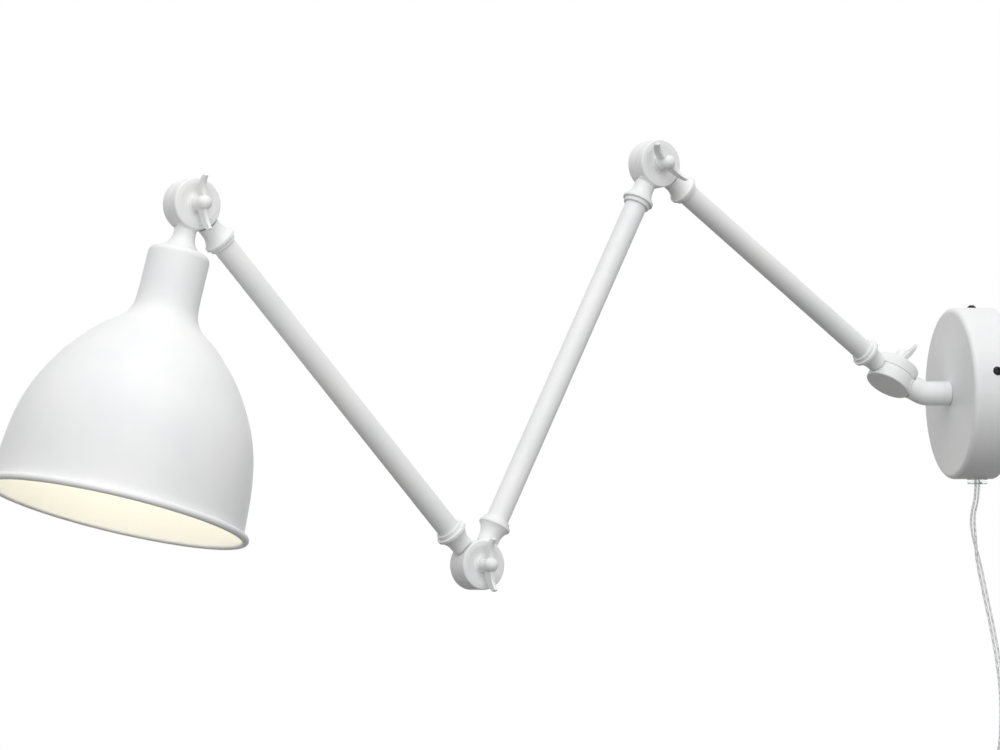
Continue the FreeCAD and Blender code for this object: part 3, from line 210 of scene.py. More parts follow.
class CordSizes(bpy.types.PropertyGroup):
    """The flat twin cord and its coil."""
    width: length("Width", 5.0, "Width of the flat cord")
    thickness: length("Thickness", 2.5, "Thickness of the flat cord")
    core_r: length("Core radius", 0.5, "Radius of each bundle of strands")
    coil_r: length("Coil radius", 33.0, "Centre line of the outermost turn")
    pitch: length("Pitch", 5.5, "From turn to turn and from layer to layer")
    layers: IntProperty(name="Layers", description="Layers in the coil", default=4, min=1)
    turns: IntProperty(name="Turns", description="Turns in each layer", default=2, min=1)


class Finishes(bpy.types.PropertyGroup):
    """The colours of the lamp's materials."""
    coat: colour("Powder coat", "#F5F5F4", "Satin white powder coat on steel and cast parts")
    coat_shadow: colour("Powder coat, low spots", "#EDEEEF", "Its faint cloudiness")
    enamel: colour("Shade lining", "#F3F2EC", "Warm white enamel inside the shade")
    zinc: colour("Zinc plate", "#C3C6CA", "Bright zinc on steel")
    screw: colour("Blackened screw", "#2B2C2E", "Blackened steel screw heads")
    plastic: colour("Plastic", "#F2F2EF", "White moulded plastic")
    clear: colour("Clear plastic", "#F4F6F7", "Clear cord sheath and grip")
    copper: colour("Tinned copper", "#DAD9D5", "Tinned strands in the cord")
    nickel: colour("Nickel", "#CFCBC3", "Nickel plated pins")
    brass: colour("Brass", "#D8B56A", "Brass sleeve and contact")
    floor: colour("Floor", "#EFEFED", "Pale floor")
    bounce: colour("Floor, bounced", "#5A5A5A", "Floor that light bounced off the lamp meets")
    glow: colour("Glow tint", "#FFFBF0", "Light inside the shade")


class StageSettings(bpy.types.PropertyGroup):
    """Camera, light and floor."""
    lens: FloatProperty(name="Lens", description="Focal length on a 36 mm sensor",
                        default=122.4, min=1.0, subtype="DISTANCE_CAMERA")
    view_turn: degrees("View turn", -9.84, "Direction to the camera, turned from +X about +Z")
    distance: length("Distance", 2556.5, "From the camera to the point it looks at")
    look_y: FloatProperty(name="Look Y", description="Y of the point looked at",
                          default=-383.8 * MM, subtype="DISTANCE", unit="LENGTH")
    look_z: FloatProperty(name="Look Z", description="Z of the point looked at",
                          default=14.2 * MM, subtype="DISTANCE", unit="LENGTH")
    floor_drop: length("Floor drop", 580.0, "How far the floor lies below the cup's centre")
    floor_r: length("Floor radius", 2200.0, "Radius of the floor")
    fill: FloatProperty(name="Fill", description="World light from the sides and above",
                        default=0.62)
    under: FloatProperty(name="Under", description="World light from below", default=0.02)
    key: power("Key", 20.0, "Power of the overhead light")
    key_size: length("Key size", 2000.0, "Side of the overhead light")
    key_at: offsets("Key place", (1.1, 0.1, 2.0))
    front: power("Front", 13.5, "Power of the light beside the camera")
    front_size: length("Front size", 2200.0, "Side of the light beside the camera")
    front_at: offsets("Front place", (2.1, 0.25, 0.5))
    glow: power("Glow", 0.16, "Power of the light inside the shade")
    glow_r: length("Glow size", 25.0, "Radius of the light inside the shade")
    glow_at: length("Glow place", 150.0, "From the shade joint to that light")


# ---- places and points ----
def unit(vector):
    vector = np.asarray(vector, float)
    return vector / np.linalg.norm(vector)


def place(origin, x_dir, z_dir):
    """An origin and the matrix whose columns are the local X, Y and Z."""
    x_dir = unit(x_dir)
    z_dir = unit(np.asarray(z_dir, float) - np.dot(z_dir, x_dir) * x_dir)
    return np.asarray(origin, float), np.stack([x_dir, np.cross(z_dir, x_dir), z_dir], 1)


def carried(points, at):
    """Points from a local frame to the lamp's."""
    return points @ at[1].T + at[0]


def turned(vector, axis, angle):
    """A vector turned about a unit axis by the right-hand rule."""
    vector = np.asarray(vector, float)
    return (vector * math.cos(angle) + np.cross(axis, vector) * math.sin(angle)
            + axis * np.dot(axis, vector) * (1 - math.cos(angle)))


def joint_at(name):
    return np.array(JOINTS[name]["pos_m"], float)


def joint_axis(name):
    return unit(JOINTS[name]["axis"])


WALL = joint_at("wall_joint")
UPPER = joint_at("upper_elbow")
LOWER = joint_at("lower_elbow")
SHADE = joint_at("shade_joint")
WALL_AXIS = joint_axis("wall_joint")
ELBOW_AXIS = joint_axis("upper_elbow")
REAR_LINE = unit(UPPER - WALL)
MIDDLE_LINE = unit(LOWER - UPPER)
FRONT_LINE = unit(SHADE - LOWER)
SHADE_LINE = unit(MOUNTS["lamp_socket"]["axis"])


# ---- outlines ----
def rounded(corners, closed=False, steps=6):
    """An outline through corners (a, b, radius), in metres.

    Each corner with a radius becomes an arc tangent to both sides: its centre lies on the
    bisector at radius / sin(half angle), and its points turn evenly from side to side.
    """
    points = np.array([corner[:2] for corner in corners], float)
    runs = []
    for i, corner in enumerate(corners):
        here = points[i]
        end = not closed and i in (0, len(corners) - 1)
        if len(corner) < 3 or corner[2] == 0 or end:
            runs.append(here[None])
            continue
        back = unit(points[i - 1] - here)
        ahead = unit(points[(i + 1) % len(corners)] - here)
        half = math.acos(float(np.clip(back @ ahead, -1, 1))) / 2
        centre = here + unit(back + ahead) * corner[2] / math.sin(half)
        start = here + back * corner[2] / math.tan(half) - centre
        finish = here + ahead * corner[2] / math.tan(half) - centre
        turn = math.pi - 2 * half
        t = np.linspace(0, 1, steps + 1)[:, None]
        runs.append(centre + (np.sin((1 - t) * turn) * start + np.sin(t * turn) * finish)
                    / math.sin(turn))
    if closed:
        runs.append(runs[0][:1])
    return np.concatenate(runs)


def arc_through(start, middle, end, t):
    """Points at the shares t of a quadratic curve that passes through middle at one half."""
    start, middle, end = (np.asarray(p, float) for p in (start, middle, end))
    pull = 2 * middle - (start + end) / 2
    t = t[:, None]
    return (1 - t) ** 2 * start + 2 * t * (1 - t) * pull + t ** 2 * end


def smooth_curve(knots, per_span):
    """A natural cubic spline through knots, with the length of its chords as parameter.

    The second derivatives solve the usual tridiagonal system, with zero at both ends.
    """
    knots = np.asarray(knots, float)
    step = np.linalg.norm(np.diff(knots, axis=0), axis=1)
    count = len(knots)
    system = np.eye(count)
    right = np.zeros_like(knots)
    row = np.arange(1, count - 1)
    system[row, row - 1] = step[:-1]
    system[row, row] = 2 * (step[:-1] + step[1:])
    system[row, row + 1] = step[1:]
    slope = np.diff(knots, axis=0) / step[:, None]
    right[1:-1] = 6 * np.diff(slope, axis=0)
    bend = np.linalg.solve(system, right)
    t = np.linspace(0, 1, per_span, endpoint=False)[None, :, None]
    h = step[:, None, None]
    a, b = knots[:-1, None], knots[1:, None]
    curved = ((1 - t) ** 3 - (1 - t)) * bend[:-1, None] + (t ** 3 - t) * bend[1:, None]
    spans = (1 - t) * a + t * b + curved * h ** 2 / 6
    return np.concatenate([spans.reshape(-1, 2), knots[-1:]])


def offset(curve, distance):
    """A curve moved sideways to the right of its run by a distance, along its normals."""
    run = np.gradient(curve, axis=0)
    run /= np.linalg.norm(run, axis=1)[:, None]
    return curve + np.stack([run[:, 1], -run[:, 0]], 1) * distance


# ---- surfaces ----
# columns round most spun surfaces
COLUMNS = 96


def spun(outline, columns, about="x"):
    """The surface that an outline of (along, radius) sweeps about a local axis.

    A point at turn t lies at (along, radius cos t, radius sin t), in the axes' order from the
    one named.
    """
    turn = np.linspace(0, 2 * math.pi, columns + 1)
    along = outline[:, 0, None] + 0 * turn
    grid = np.stack([along, outline[:, 1, None] * np.cos(turn),
                     outline[:, 1, None] * np.sin(turn)], -1)
    return grid if about == "x" else np.roll(grid, -1, axis=-1)


def swept(path, across, up, section):
    """A section of (across, up) points carried along a path with its two directions."""
    return (path[:, None] + section[None, :, 0, None] * across[:, None]
            + section[None, :, 1, None] * up[:, None])


def grid_quads(grid, base=0):
    """Quads between the neighbours of a grid's rows and columns, numbered from base."""
    rows, columns = grid.shape[:2]
    index = base + np.arange(rows * columns).reshape(rows, columns)
    faces = np.stack([index[:-1, :-1], index[1:, :-1], index[1:, 1:], index[:-1, 1:]], -1)
    return faces.reshape(-1, 4)


def add_object(name, data):
    """A new object at the origin, in the scene's collection."""
    made = bpy.data.objects.new(name, data)
    bpy.context.scene.collection.objects.link(made)
    return made


def make_piece(name, grids, body, finish, replaces=(), tags=None, crease=40.0):
    """One object from grids of points in the lamp's frame.

    Grids that share an edge are merged there, and the closed shell's faces are then turned
    outwards. tags gives each grid's place in the list finish, and an edge sharper than crease,
    in degrees, stays sharp.
    """
    points = np.concatenate([grid.reshape(-1, 3) for grid in grids])
    quads, marks, base = [], [], 0
    for number, grid in enumerate(grids):
        quads.append(grid_quads(grid, base))
        marks.append(np.full(len(quads[-1]), tags[number] if tags else 0))
        base += grid.shape[0] * grid.shape[1]
    quads = np.concatenate(quads)
    mesh = bpy.data.meshes.new(name)
    mesh.vertices.add(len(points))
    mesh.vertices.foreach_set("co", points.astype(np.float32).ravel())
    mesh.loops.add(quads.size)
    mesh.loops.foreach_set("vertex_index", quads.astype(np.int32).ravel())
    mesh.polygons.add(len(quads))
    mesh.polygons.foreach_set("loop_start", np.arange(0, quads.size, 4, dtype=np.int32))
    mesh.polygons.foreach_set("material_index", np.concatenate(marks).astype(np.int32))
    mesh.update(calc_edges=True)
    work = bmesh.new()
    work.from_mesh(mesh)
    bmesh.ops.remove_doubles(work, verts=work.verts, dist=2e-6)
    bmesh.ops.dissolve_degenerate(work, edges=work.edges, dist=1e-7)
    bmesh.ops.recalc_face_normals(work, faces=work.faces)
    work.to_mesh(mesh)
    work.free()
    mesh.polygons.foreach_set("use_smooth", np.ones(len(mesh.polygons), bool))
    mesh.set_sharp_from_angle(angle=math.radians(crease))
    for material in finish if isinstance(finish, (list, tuple)) else [finish]:
        mesh.materials.append(material)
    piece = add_object(name, mesh)
    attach(piece, body)
    if replaces:
        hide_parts(*replaces)
    return piece


# ---- materials ----
def add_node(tree, kind, inputs=None, **settings):
    """Adds a node, sets its properties, then its inputs to values or to other sockets."""
    node = tree.nodes.new(kind)
    for key, value in settings.items():
        setattr(node, key, value)
    for key, value in (inputs or {}).items():
        if isinstance(value, bpy.types.NodeSocket):
            tree.links.new(value, node.inputs[key])
        else:
            node.inputs[key].default_value = value
    return node


def opaque(rgb):
    return (*rgb, 1.0)


def new_material(name, inputs):
    """A material with one surface shader, its tree, and object coordinates."""
    material = bpy.data.materials.new(name)
    material.use_nodes = True
    tree = material.node_tree
    tree.nodes.clear()
    shader = add_node(tree, "ShaderNodeBsdfPrincipled", inputs)
    output = add_node(tree, "ShaderNodeOutputMaterial")
    tree.links.new(shader.outputs["BSDF"], output.inputs["Surface"])
    coords = add_node(tree, "ShaderNodeTexCoord").outputs["Object"]
    return material, tree, shader, coords


def noise(tree, coords, size_mm, detail):
    """Noise whose lumps are about size_mm across."""
    return add_node(tree, "ShaderNodeTexNoise", {
        "Vector": coords, "Scale": 1 / (size_mm * MM), "Detail": detail,
        "Roughness": 0.5}).outputs["Fac"]


def ranged(tree, value, low, high, start=0.3, end=0.7):
    """A value's part from start to end, spread from low to high."""
    return add_node(tree, "ShaderNodeMapRange", {
        "Value": value, "From Min": start, "From Max": end, "To Min": low,
        "To Max": high}).outputs["Result"]


def bump(tree, shader, height, depth_mm, strength):
    node = add_node(tree, "ShaderNodeBump", {
        "Height": height, "Distance": depth_mm * MM, "Strength": strength})
    tree.links.new(node.outputs["Normal"], shader.inputs["Normal"])


def mixed(tree, value, first, second):
    return add_node(tree, "ShaderNodeMix", {
        "Factor": value, "A": opaque(first), "B": opaque(second)},
        data_type="RGBA").outputs["Result"]


def surface(name, inputs, tone=None, gloss=None, relief=None):
    """A material whose colour, roughness and relief follow noise on object coordinates.

    tone and gloss start with the size of the noise's lumps in millimetres and its detail, and
    go on with the two colours or roughness values that the part of the noise from 0.3 to 0.7,
    or the part given last, is spread between. relief is lump size, depth and strength.
    """
    material, tree, shader, coords = new_material(name, inputs)
    if tone:
        size_mm, detail, first, second, *part = tone
        share = ranged(tree, noise(tree, coords, size_mm, detail), 0.0, 1.0, *part)
        tree.links.new(mixed(tree, share, first, second), shader.inputs["Base Color"])
    if gloss:
        size_mm, detail, *spread = gloss
        rough = ranged(tree, noise(tree, coords, size_mm, detail), *spread)
        tree.links.new(rough, shader.inputs["Roughness"])
    if relief:
        size_mm, depth_mm, strength = relief
        bump(tree, shader, noise(tree, coords, size_mm, 2.0), depth_mm, strength)
    return material


def scaled(rgb, factor):
    return tuple(factor * channel for channel in rgb)


def tinned_copper(finishes):
    """Tinned copper strands: a soft grey metal, banded by the strands' slanting lay.

    The bands are about 2 mm apart, coarser than real strands, so that they show.
    """
    material, tree, shader, coords = new_material("tinned_copper", {"Metallic": 1.0})
    strand = add_node(tree, "ShaderNodeTexWave", {
        "Vector": coords, "Scale": 1 / (6.0 * MM), "Distortion": 2.0, "Detail": 2.0},
        bands_direction="DIAGONAL").outputs["Fac"]
    darker = scaled(finishes.copper, 0.72)
    tree.links.new(mixed(tree, strand, darker, finishes.copper), shader.inputs["Base Color"])
    tree.links.new(ranged(tree, strand, 0.45, 0.3, 0.0, 1.0), shader.inputs["Roughness"])
    bump(tree, shader, strand, 0.08, 0.8)
    return material


def lamp_materials(chosen):
    """Each finish, named for its material and how that is made."""
    made = {
        # polyester powder coat on steel: an even satin skin with a fine orange peel, and a
        # faint cloudiness of tone and gloss where the film pools
        "white_paint": surface(
            "powder_coated_steel",
            {"IOR": 1.5, "Coat Weight": 0.0, "Specular IOR Level": 0.45},
            (55.0, 3.0, chosen.coat, chosen.coat_shadow), (9.0, 3.0, 0.40, 0.48),
            (1.5, 0.02, 0.6)),
        # baked enamel inside the shade: smoother and creamier than the coat outside
        "lining": surface(
            "baked_enamel", {"Base Color": opaque(chosen.enamel), "IOR": 1.5},
            gloss=(14.0, 3.0, 0.30, 0.38), relief=(3.0, 0.02, 0.4)),
        # bright zinc plate: a cool metal with soft patches and a fine unevenness
        "zinc_steel": surface(
            "zinc_plated_steel", {"Metallic": 1.0},
            (7.0, 4.0, chosen.zinc, scaled(chosen.zinc, 0.78)), (2.5, 3.0, 0.25, 0.42),
            (0.8, 0.01, 0.5)),
        # blackened steel: near black and oiled, lighter and smoother where it is worn
        "dark_screw": surface(
            "blackened_steel", {"Metallic": 0.85},
            (1.2, 4.0, chosen.screw, scaled(chosen.screw, 3.0), 0.55, 0.8),
            (1.2, 4.0, 0.32, 0.22, 0.55, 0.8)),
        # clear plasticised PVC: glassy, a little cloudy, softly glossy
        "clear_flex": surface(
            "clear_pvc", {"Base Color": opaque(chosen.clear), "IOR": 1.53,
                          "Transmission Weight": 0.92},
            gloss=(6.0, 3.0, 0.06, 0.16), relief=(2.2, 0.03, 0.5)),
        # clear moulded polycarbonate: harder and clearer than the cord's sheath
        "clear_plastic": surface(
            "clear_polycarbonate", {"Base Color": opaque(chosen.clear), "IOR": 1.58,
                                    "Transmission Weight": 0.96},
            gloss=(4.0, 2.0, 0.04, 0.10), relief=(3.0, 0.02, 0.4)),
        "copper": tinned_copper(chosen),
        # moulded ABS: an even satin with a spark-eroded grain, drawn coarser so that it shows
        "white_plastic": surface(
            "moulded_abs", {"IOR": 1.54},
            (20.0, 2.0, chosen.plastic, scaled(chosen.plastic, 0.93)),
            (5.0, 3.0, 0.34, 0.44), (0.6, 0.02, 0.6)),
    }
    # plated and turned metal: an even, fine variation of gloss, about 3 mm across
    for key, name, rgb, rough in (("nickel", "nickel_plated_brass", chosen.nickel, 0.18),
                                  ("brass", "brass", chosen.brass, 0.24)):
        made[key] = surface(name, {"Base Color": opaque(rgb), "Metallic": 1.0},
                            gloss=(3.0, 3.0, rough, rough + 0.12), relief=(1.0, 0.01, 0.4))
    made["shade_paint"] = made["white_paint"]
    return made


# the lamp's materials by slot, which the finishes operator fills
FINISH = {}


class LAMP_OT_finishes(bpy.types.Operator):
    """Makes the lamp's materials and gives them to the frame's own pieces"""
    bl_idname = "wall_lamp.finishes"
    bl_label = "Finishes"

    def execute(self, context):
        FINISH.update(lamp_materials(context.scene.lamp_finishes))
        slots = {part["node"]: part["material_slot"] for part in frame["record"]["subparts"]}
        for name, piece in frame["nodes"].items():
            for material_slot in piece.material_slots:
                material_slot.material = FINISH[slots[name]]
        return {"FINISHED"}


# ---- knuckles ----
def disc_shell(sizes, side, outer):
    """A disc about local Z: dished and open for the stud, or plain with a blind hole.

    The closed outline runs from the hole out along the seam, over the rounded edge and back
    across the outer face.
    """
    radius, hole, edge = sizes.disc_r, sizes.stud_r, sizes.disc_edge
    seam = [(sizes.gap, hole, 0), (sizes.gap, radius, 0.25 * MM), (outer, radius, edge)]
    if side > 0:
        floor = outer - sizes.dish_depth
        face = [(outer, sizes.dish_r, 0.9 * MM), (floor, sizes.dish_floor_r, 3.0 * MM),
                (floor, hole, 0)]
    else:
        floor = outer - sizes.stud_floor
        face = [(outer, 0, 0), (floor, 0, 0), (floor, hole, 0)]
    outline = rounded(seam + face, closed=True)
    outline[:, 0] *= side
    return spun(outline, COLUMNS, about="z")


def neck_shell(sizes, radius, rise, side, outer, rows_after):
    """A neck that starts inside its own disc and stands off the other one.

    The section is a circle whose angle runs over the part on the neck's own side of the seam
    and then over the other part. The own part starts on a cylinder inside the disc's wall,
    the other part on a cylinder the slit's width outside the other disc. Near its disc the
    own part widens by f (1 - d / f) squared, d being the distance out from the disc and f the
    fillet, less so within blend of the seam, and it stays under the disc's edge. The seam's
    flat face and the two end walls close the shell. rows_after gives, for the angles of a
    part, the rows beyond the straight neck.
    """
    centre = -side * rise
    cut = math.asin(-centre / radius)
    columns = 33
    own_angle = np.linspace(cut, math.pi - cut, columns)
    other_angle = np.linspace(cut, -math.pi - cut, columns)
    chord = radius * math.cos(cut) * np.linspace(1, -1, columns)
    inside = sizes.disc_r - sizes.neck_root
    slit = sizes.disc_r + sizes.neck_slit
    blend = 2 * MM

    def ring(x, angle, fillet):
        y = radius * np.cos(angle)
        z = centre + radius * np.sin(angle)
        if fillet:
            out = np.clip(np.hypot(x, y) - sizes.disc_r, 0, fillet)
            extra = fillet * (1 - out / fillet) ** 2 * np.clip(z / blend, 0, 1)
            scale = 1 + extra / radius
            y = y * scale
            z = centre + (z - centre) * scale
            ease = np.clip(out / (1.2 * fillet), 0, 1)
            limit = outer - sizes.disc_edge + ease ** 2 * (3 - 2 * ease) * blend
            z = np.minimum(z, limit)
        return np.stack([x, y, z], -1)

    def on_cylinder(reach, y):
        return np.sqrt(reach ** 2 - y ** 2)

    fillet = sizes.neck_fillet
    own_y = radius * np.cos(own_angle)
    other_y = radius * np.cos(other_angle)
    own_start, own_slit = on_cylinder(inside, own_y), on_cylinder(slit, own_y)
    other_start = on_cylinder(slit, other_y)
    straight = sizes.neck_straight
    shares = np.linspace(0, 1, 9)
    own = [ring(own_start + (own_slit - own_start) * s, own_angle, fillet) for s in shares]
    for row in own:
        row[:, 2] = np.maximum(row[:, 2], sizes.gap)
    own += [ring(own_slit + (straight - own_slit) * s, own_angle, fillet) for s in shares]
    other = [ring(other_start + (straight - other_start) * s, other_angle, 0)
             for s in shares]
    own = np.concatenate([own, rows_after(own_angle)])
    other = np.concatenate([other, rows_after(other_angle)])

    def wall(edge, reach):
        share = np.linspace(0, 1, 7)[:, None]
        y = edge[None, :, 1] * (1 - share) + chord * share
        z = edge[None, :, 2] * (1 - share) + sizes.gap * share
        return np.stack([np.sqrt(reach ** 2 - y ** 2), y, z], -1)

    own_wall = wall(own[0], inside)
    own_wall[0] = own[0]
    level = 0 * chord + sizes.gap
    face = np.stack([np.stack([on_cylinder(inside, chord), chord, level], -1),
                     np.stack([on_cylinder(slit, chord), chord, level], -1)])
    grids = [own, other, own_wall, face, wall(other[0], slit)]
    for grid in grids:
        grid[..., 2] *= side
    return grids


def spun_rows(outline, rise, side):
    """Rows of rings about the arm's line, from an outline of (along, radius)."""
    def rows(angle):
        along, radius = outline[:, 0, None], outline[:, 1, None]
        return np.stack([along + 0 * angle, radius * np.cos(angle),
                         -side * rise + radius * np.sin(angle)], -1)
    return rows


def flare(sizes, end_r):
    """The flare's arc: along = start + q sin t, radius = neck + q (1 - cos t)."""
    sweep = sizes.rim_at - sizes.neck_straight
    rise = end_r - sizes.neck_r
    q = (sweep ** 2 + rise ** 2) / (2 * rise)
    t = np.linspace(0, math.asin(sweep / q), 13)[1:]
    return np.stack([sizes.neck_straight + q * np.sin(t),
                     sizes.neck_r + q * (1 - np.cos(t))], 1)


def arm_end(sizes):
    """The rim, the ring and the mouth that the tube goes into."""
    rim_end = sizes.rim_at + sizes.rim_t
    ring_end = rim_end + sizes.ring_t
    bore_end = ring_end - sizes.socket
    corners = [(sizes.rim_at, sizes.flare_r, 0), (sizes.rim_at, sizes.rim_r, 0.2 * MM),
               (rim_end, sizes.rim_r, 0.3 * MM), (rim_end, sizes.ring_r, 0.2 * MM),
               (ring_end, sizes.ring_r, 0.6 * MM), (ring_end, sizes.tube_r, 0.15 * MM),
               (bore_end, sizes.tube_r, 0), (bore_end, 0, 0)]
    return np.concatenate([flare(sizes, sizes.flare_r), rounded(corners)[1:]])


def shade_end(sizes, foot_r, top):
    """The foot that stands on the shade's top, with the nipple's hole."""
    nipple_r, seat = 5.05 * MM, 9.0 * MM
    corners = [(sizes.rim_at, foot_r, 0), (top, foot_r, 0.3 * MM), (top, nipple_r, 0),
               (top - seat, nipple_r, 0), (top - seat, 0, 0)]
    return np.concatenate([flare(sizes, foot_r), rounded(corners)[1:]])


class LAMP_OT_knuckles(bpy.types.Operator):
    """Makes the seven arm and shade knuckles, with filleted necks and dished discs"""
    bl_idname = "wall_lamp.knuckles"
    bl_label = "Knuckles"

    def execute(self, context):
        sizes = context.scene.lamp_knuckles
        top = context.scene.lamp_shade.top
        rise = sizes.seam_rise
        ends = arm_end(sizes)
        # name, body, joint, direction along the arm, joint's axis, side, rise, far end
        knuckles = (
            ("rear_arm_lower_knuckle", "rear_arm", WALL, REAR_LINE, WALL_AXIS, 1, rise, ends),
            ("rear_arm_upper_knuckle", "rear_arm", UPPER, -REAR_LINE, ELBOW_AXIS, -1, 0, ends),
            ("middle_arm_upper_knuckle", "middle_arm", UPPER, MIDDLE_LINE, ELBOW_AXIS, 1, 0,
             ends),
            ("middle_arm_lower_knuckle", "middle_arm", LOWER, -MIDDLE_LINE, ELBOW_AXIS, 1, 0,
             ends),
            ("front_arm_lower_knuckle", "front_arm", LOWER, FRONT_LINE, ELBOW_AXIS, -1, 0,
             ends),
            ("front_arm_upper_knuckle", "front_arm", SHADE, -FRONT_LINE, ELBOW_AXIS, -1, 0,
             ends),
            ("shade_knuckle", "shade", SHADE, SHADE_LINE, ELBOW_AXIS, 1, 0,
             shade_end(sizes, sizes.foot_r, top)))
        for node, body, centre, direction, axis, side, up, outline in knuckles:
            at = place(centre + axis * up, direction, axis)
            grids = [disc_shell(sizes, side, sizes.half_t)]
            grids += neck_shell(sizes, sizes.neck_r, up, side, sizes.half_t,
                                spun_rows(outline, up, side))
            make_piece(node + "_cast", [carried(grid, at) for grid in grids], body,
                       FINISH["white_paint"], [node], crease=28.0)
        return {"FINISHED"}


class LAMP_OT_arm_tubes(bpy.types.Operator):
    """Makes the three drawn arm tubes, open at both ends"""
    bl_idname = "wall_lamp.arm_tubes"
    bl_label = "Arm tubes"

    def execute(self, context):
        tube = context.scene.lamp_tubes
        arms = (("rear_arm", WALL, UPPER, REAR_LINE), ("middle_arm", UPPER, LOWER, MIDDLE_LINE),
                ("front_arm", LOWER, SHADE, FRONT_LINE))
        for body, start, end, line in arms:
            reach = np.linalg.norm(end - start)
            far = reach - tube.start
            steps = np.linspace(tube.start, far, 40)[1:-1]
            outer = [(x, tube.radius, 0) for x in steps]
            inner = [(x, tube.radius - tube.wall, 0) for x in steps[::-1]]
            outline = rounded([(tube.start, tube.radius - tube.wall, 0),
                               (tube.start, tube.radius, 0.25 * MM)] + outer
                              + [(far, tube.radius, 0.25 * MM),
                                 (far, tube.radius - tube.wall, 0)] + inner, closed=True)
            at = place(start, line, ELBOW_AXIS)
            make_piece(body + "_tube_drawn", [carried(spun(outline, COLUMNS), at)], body,
                       FINISH["white_paint"], [body + "_tube"])
        return {"FINISHED"}


class LAMP_OT_stem(bpy.types.Operator):
    """Makes the bent stem with its plain disc and its hollow shank"""
    bl_idname = "wall_lamp.stem"
    bl_label = "Stem"

    def execute(self, context):
        sizes = context.scene.lamp_knuckles
        stem = context.scene.lamp_stem
        corner = np.array([0, -stem.cup_depth - stem.reach, 0])
        line = unit(corner - WALL)
        at = place(WALL + WALL_AXIS * sizes.seam_rise, line, WALL_AXIS)
        bend = math.acos(line[1])
        take = stem.bend_r * math.tan(bend / 2)
        straight_end = stem.neck - take
        last_run = stem.reach - take - stem.face_gap

        def rows(angle):
            """Rings along the straight neck, round the bend and on to the cup's face.

            The bend's centre line is x = a + q sin t, z = q (1 - cos t), with q its radius.
            """
            near, round_bend, far = 8, 17, 9
            t = np.concatenate([np.zeros(near), np.linspace(0, bend, round_bend),
                                np.full(far, bend)])
            before = np.concatenate([
                np.linspace(sizes.neck_straight, straight_end, near + 1)[1:],
                np.full(round_bend + far, straight_end)])
            beyond = np.concatenate([np.zeros(near + round_bend),
                                     np.linspace(0, last_run, far + 1)[1:]])
            x = before + stem.bend_r * np.sin(t) + beyond * np.cos(t)
            z = stem.bend_r * (1 - np.cos(t)) + beyond * np.sin(t)
            radius = np.full(len(t), stem.rod_r)
            radius[near] -= stem.groove
            x = np.append(x, x[-1])
            z = np.append(z, z[-1])
            t = np.append(t, t[-1])
            radius = np.append(radius, 0)[:, None]
            lift = -radius * np.sin(angle)
            points = np.stack([x[:, None] - lift * np.sin(t)[:, None],
                               radius * np.cos(angle),
                               z[:, None] + lift * np.cos(t)[:, None] - sizes.seam_rise], -1)
            points[..., 2] *= -1
            return points

        under = sizes.half_t + sizes.seam_rise
        grids = [disc_shell(sizes, -1, under)]
        grids += neck_shell(sizes, stem.rod_r, sizes.seam_rise, -1, under, rows)
        grids = [carried(grid, at) for grid in grids]
        overlap = 2 * MM
        start = -stem.cup_depth - overlap
        end = -stem.cup_depth + stem.shank_l
        shank = rounded([(start, stem.shank_bore, 0), (start, stem.shank_r, 0),
                         (end, stem.shank_r, 0.6 * MM), (end, stem.shank_bore, 0)],
                        closed=True)
        grids.append(carried(spun(shank, 48), place((0, 0, 0), (0, 1, 0), (0, 0, 1))))
        make_piece("stem_cast", grids, "stem", FINISH["white_paint"], ["stem"],
                   crease=28.0)
        return {"FINISHED"}


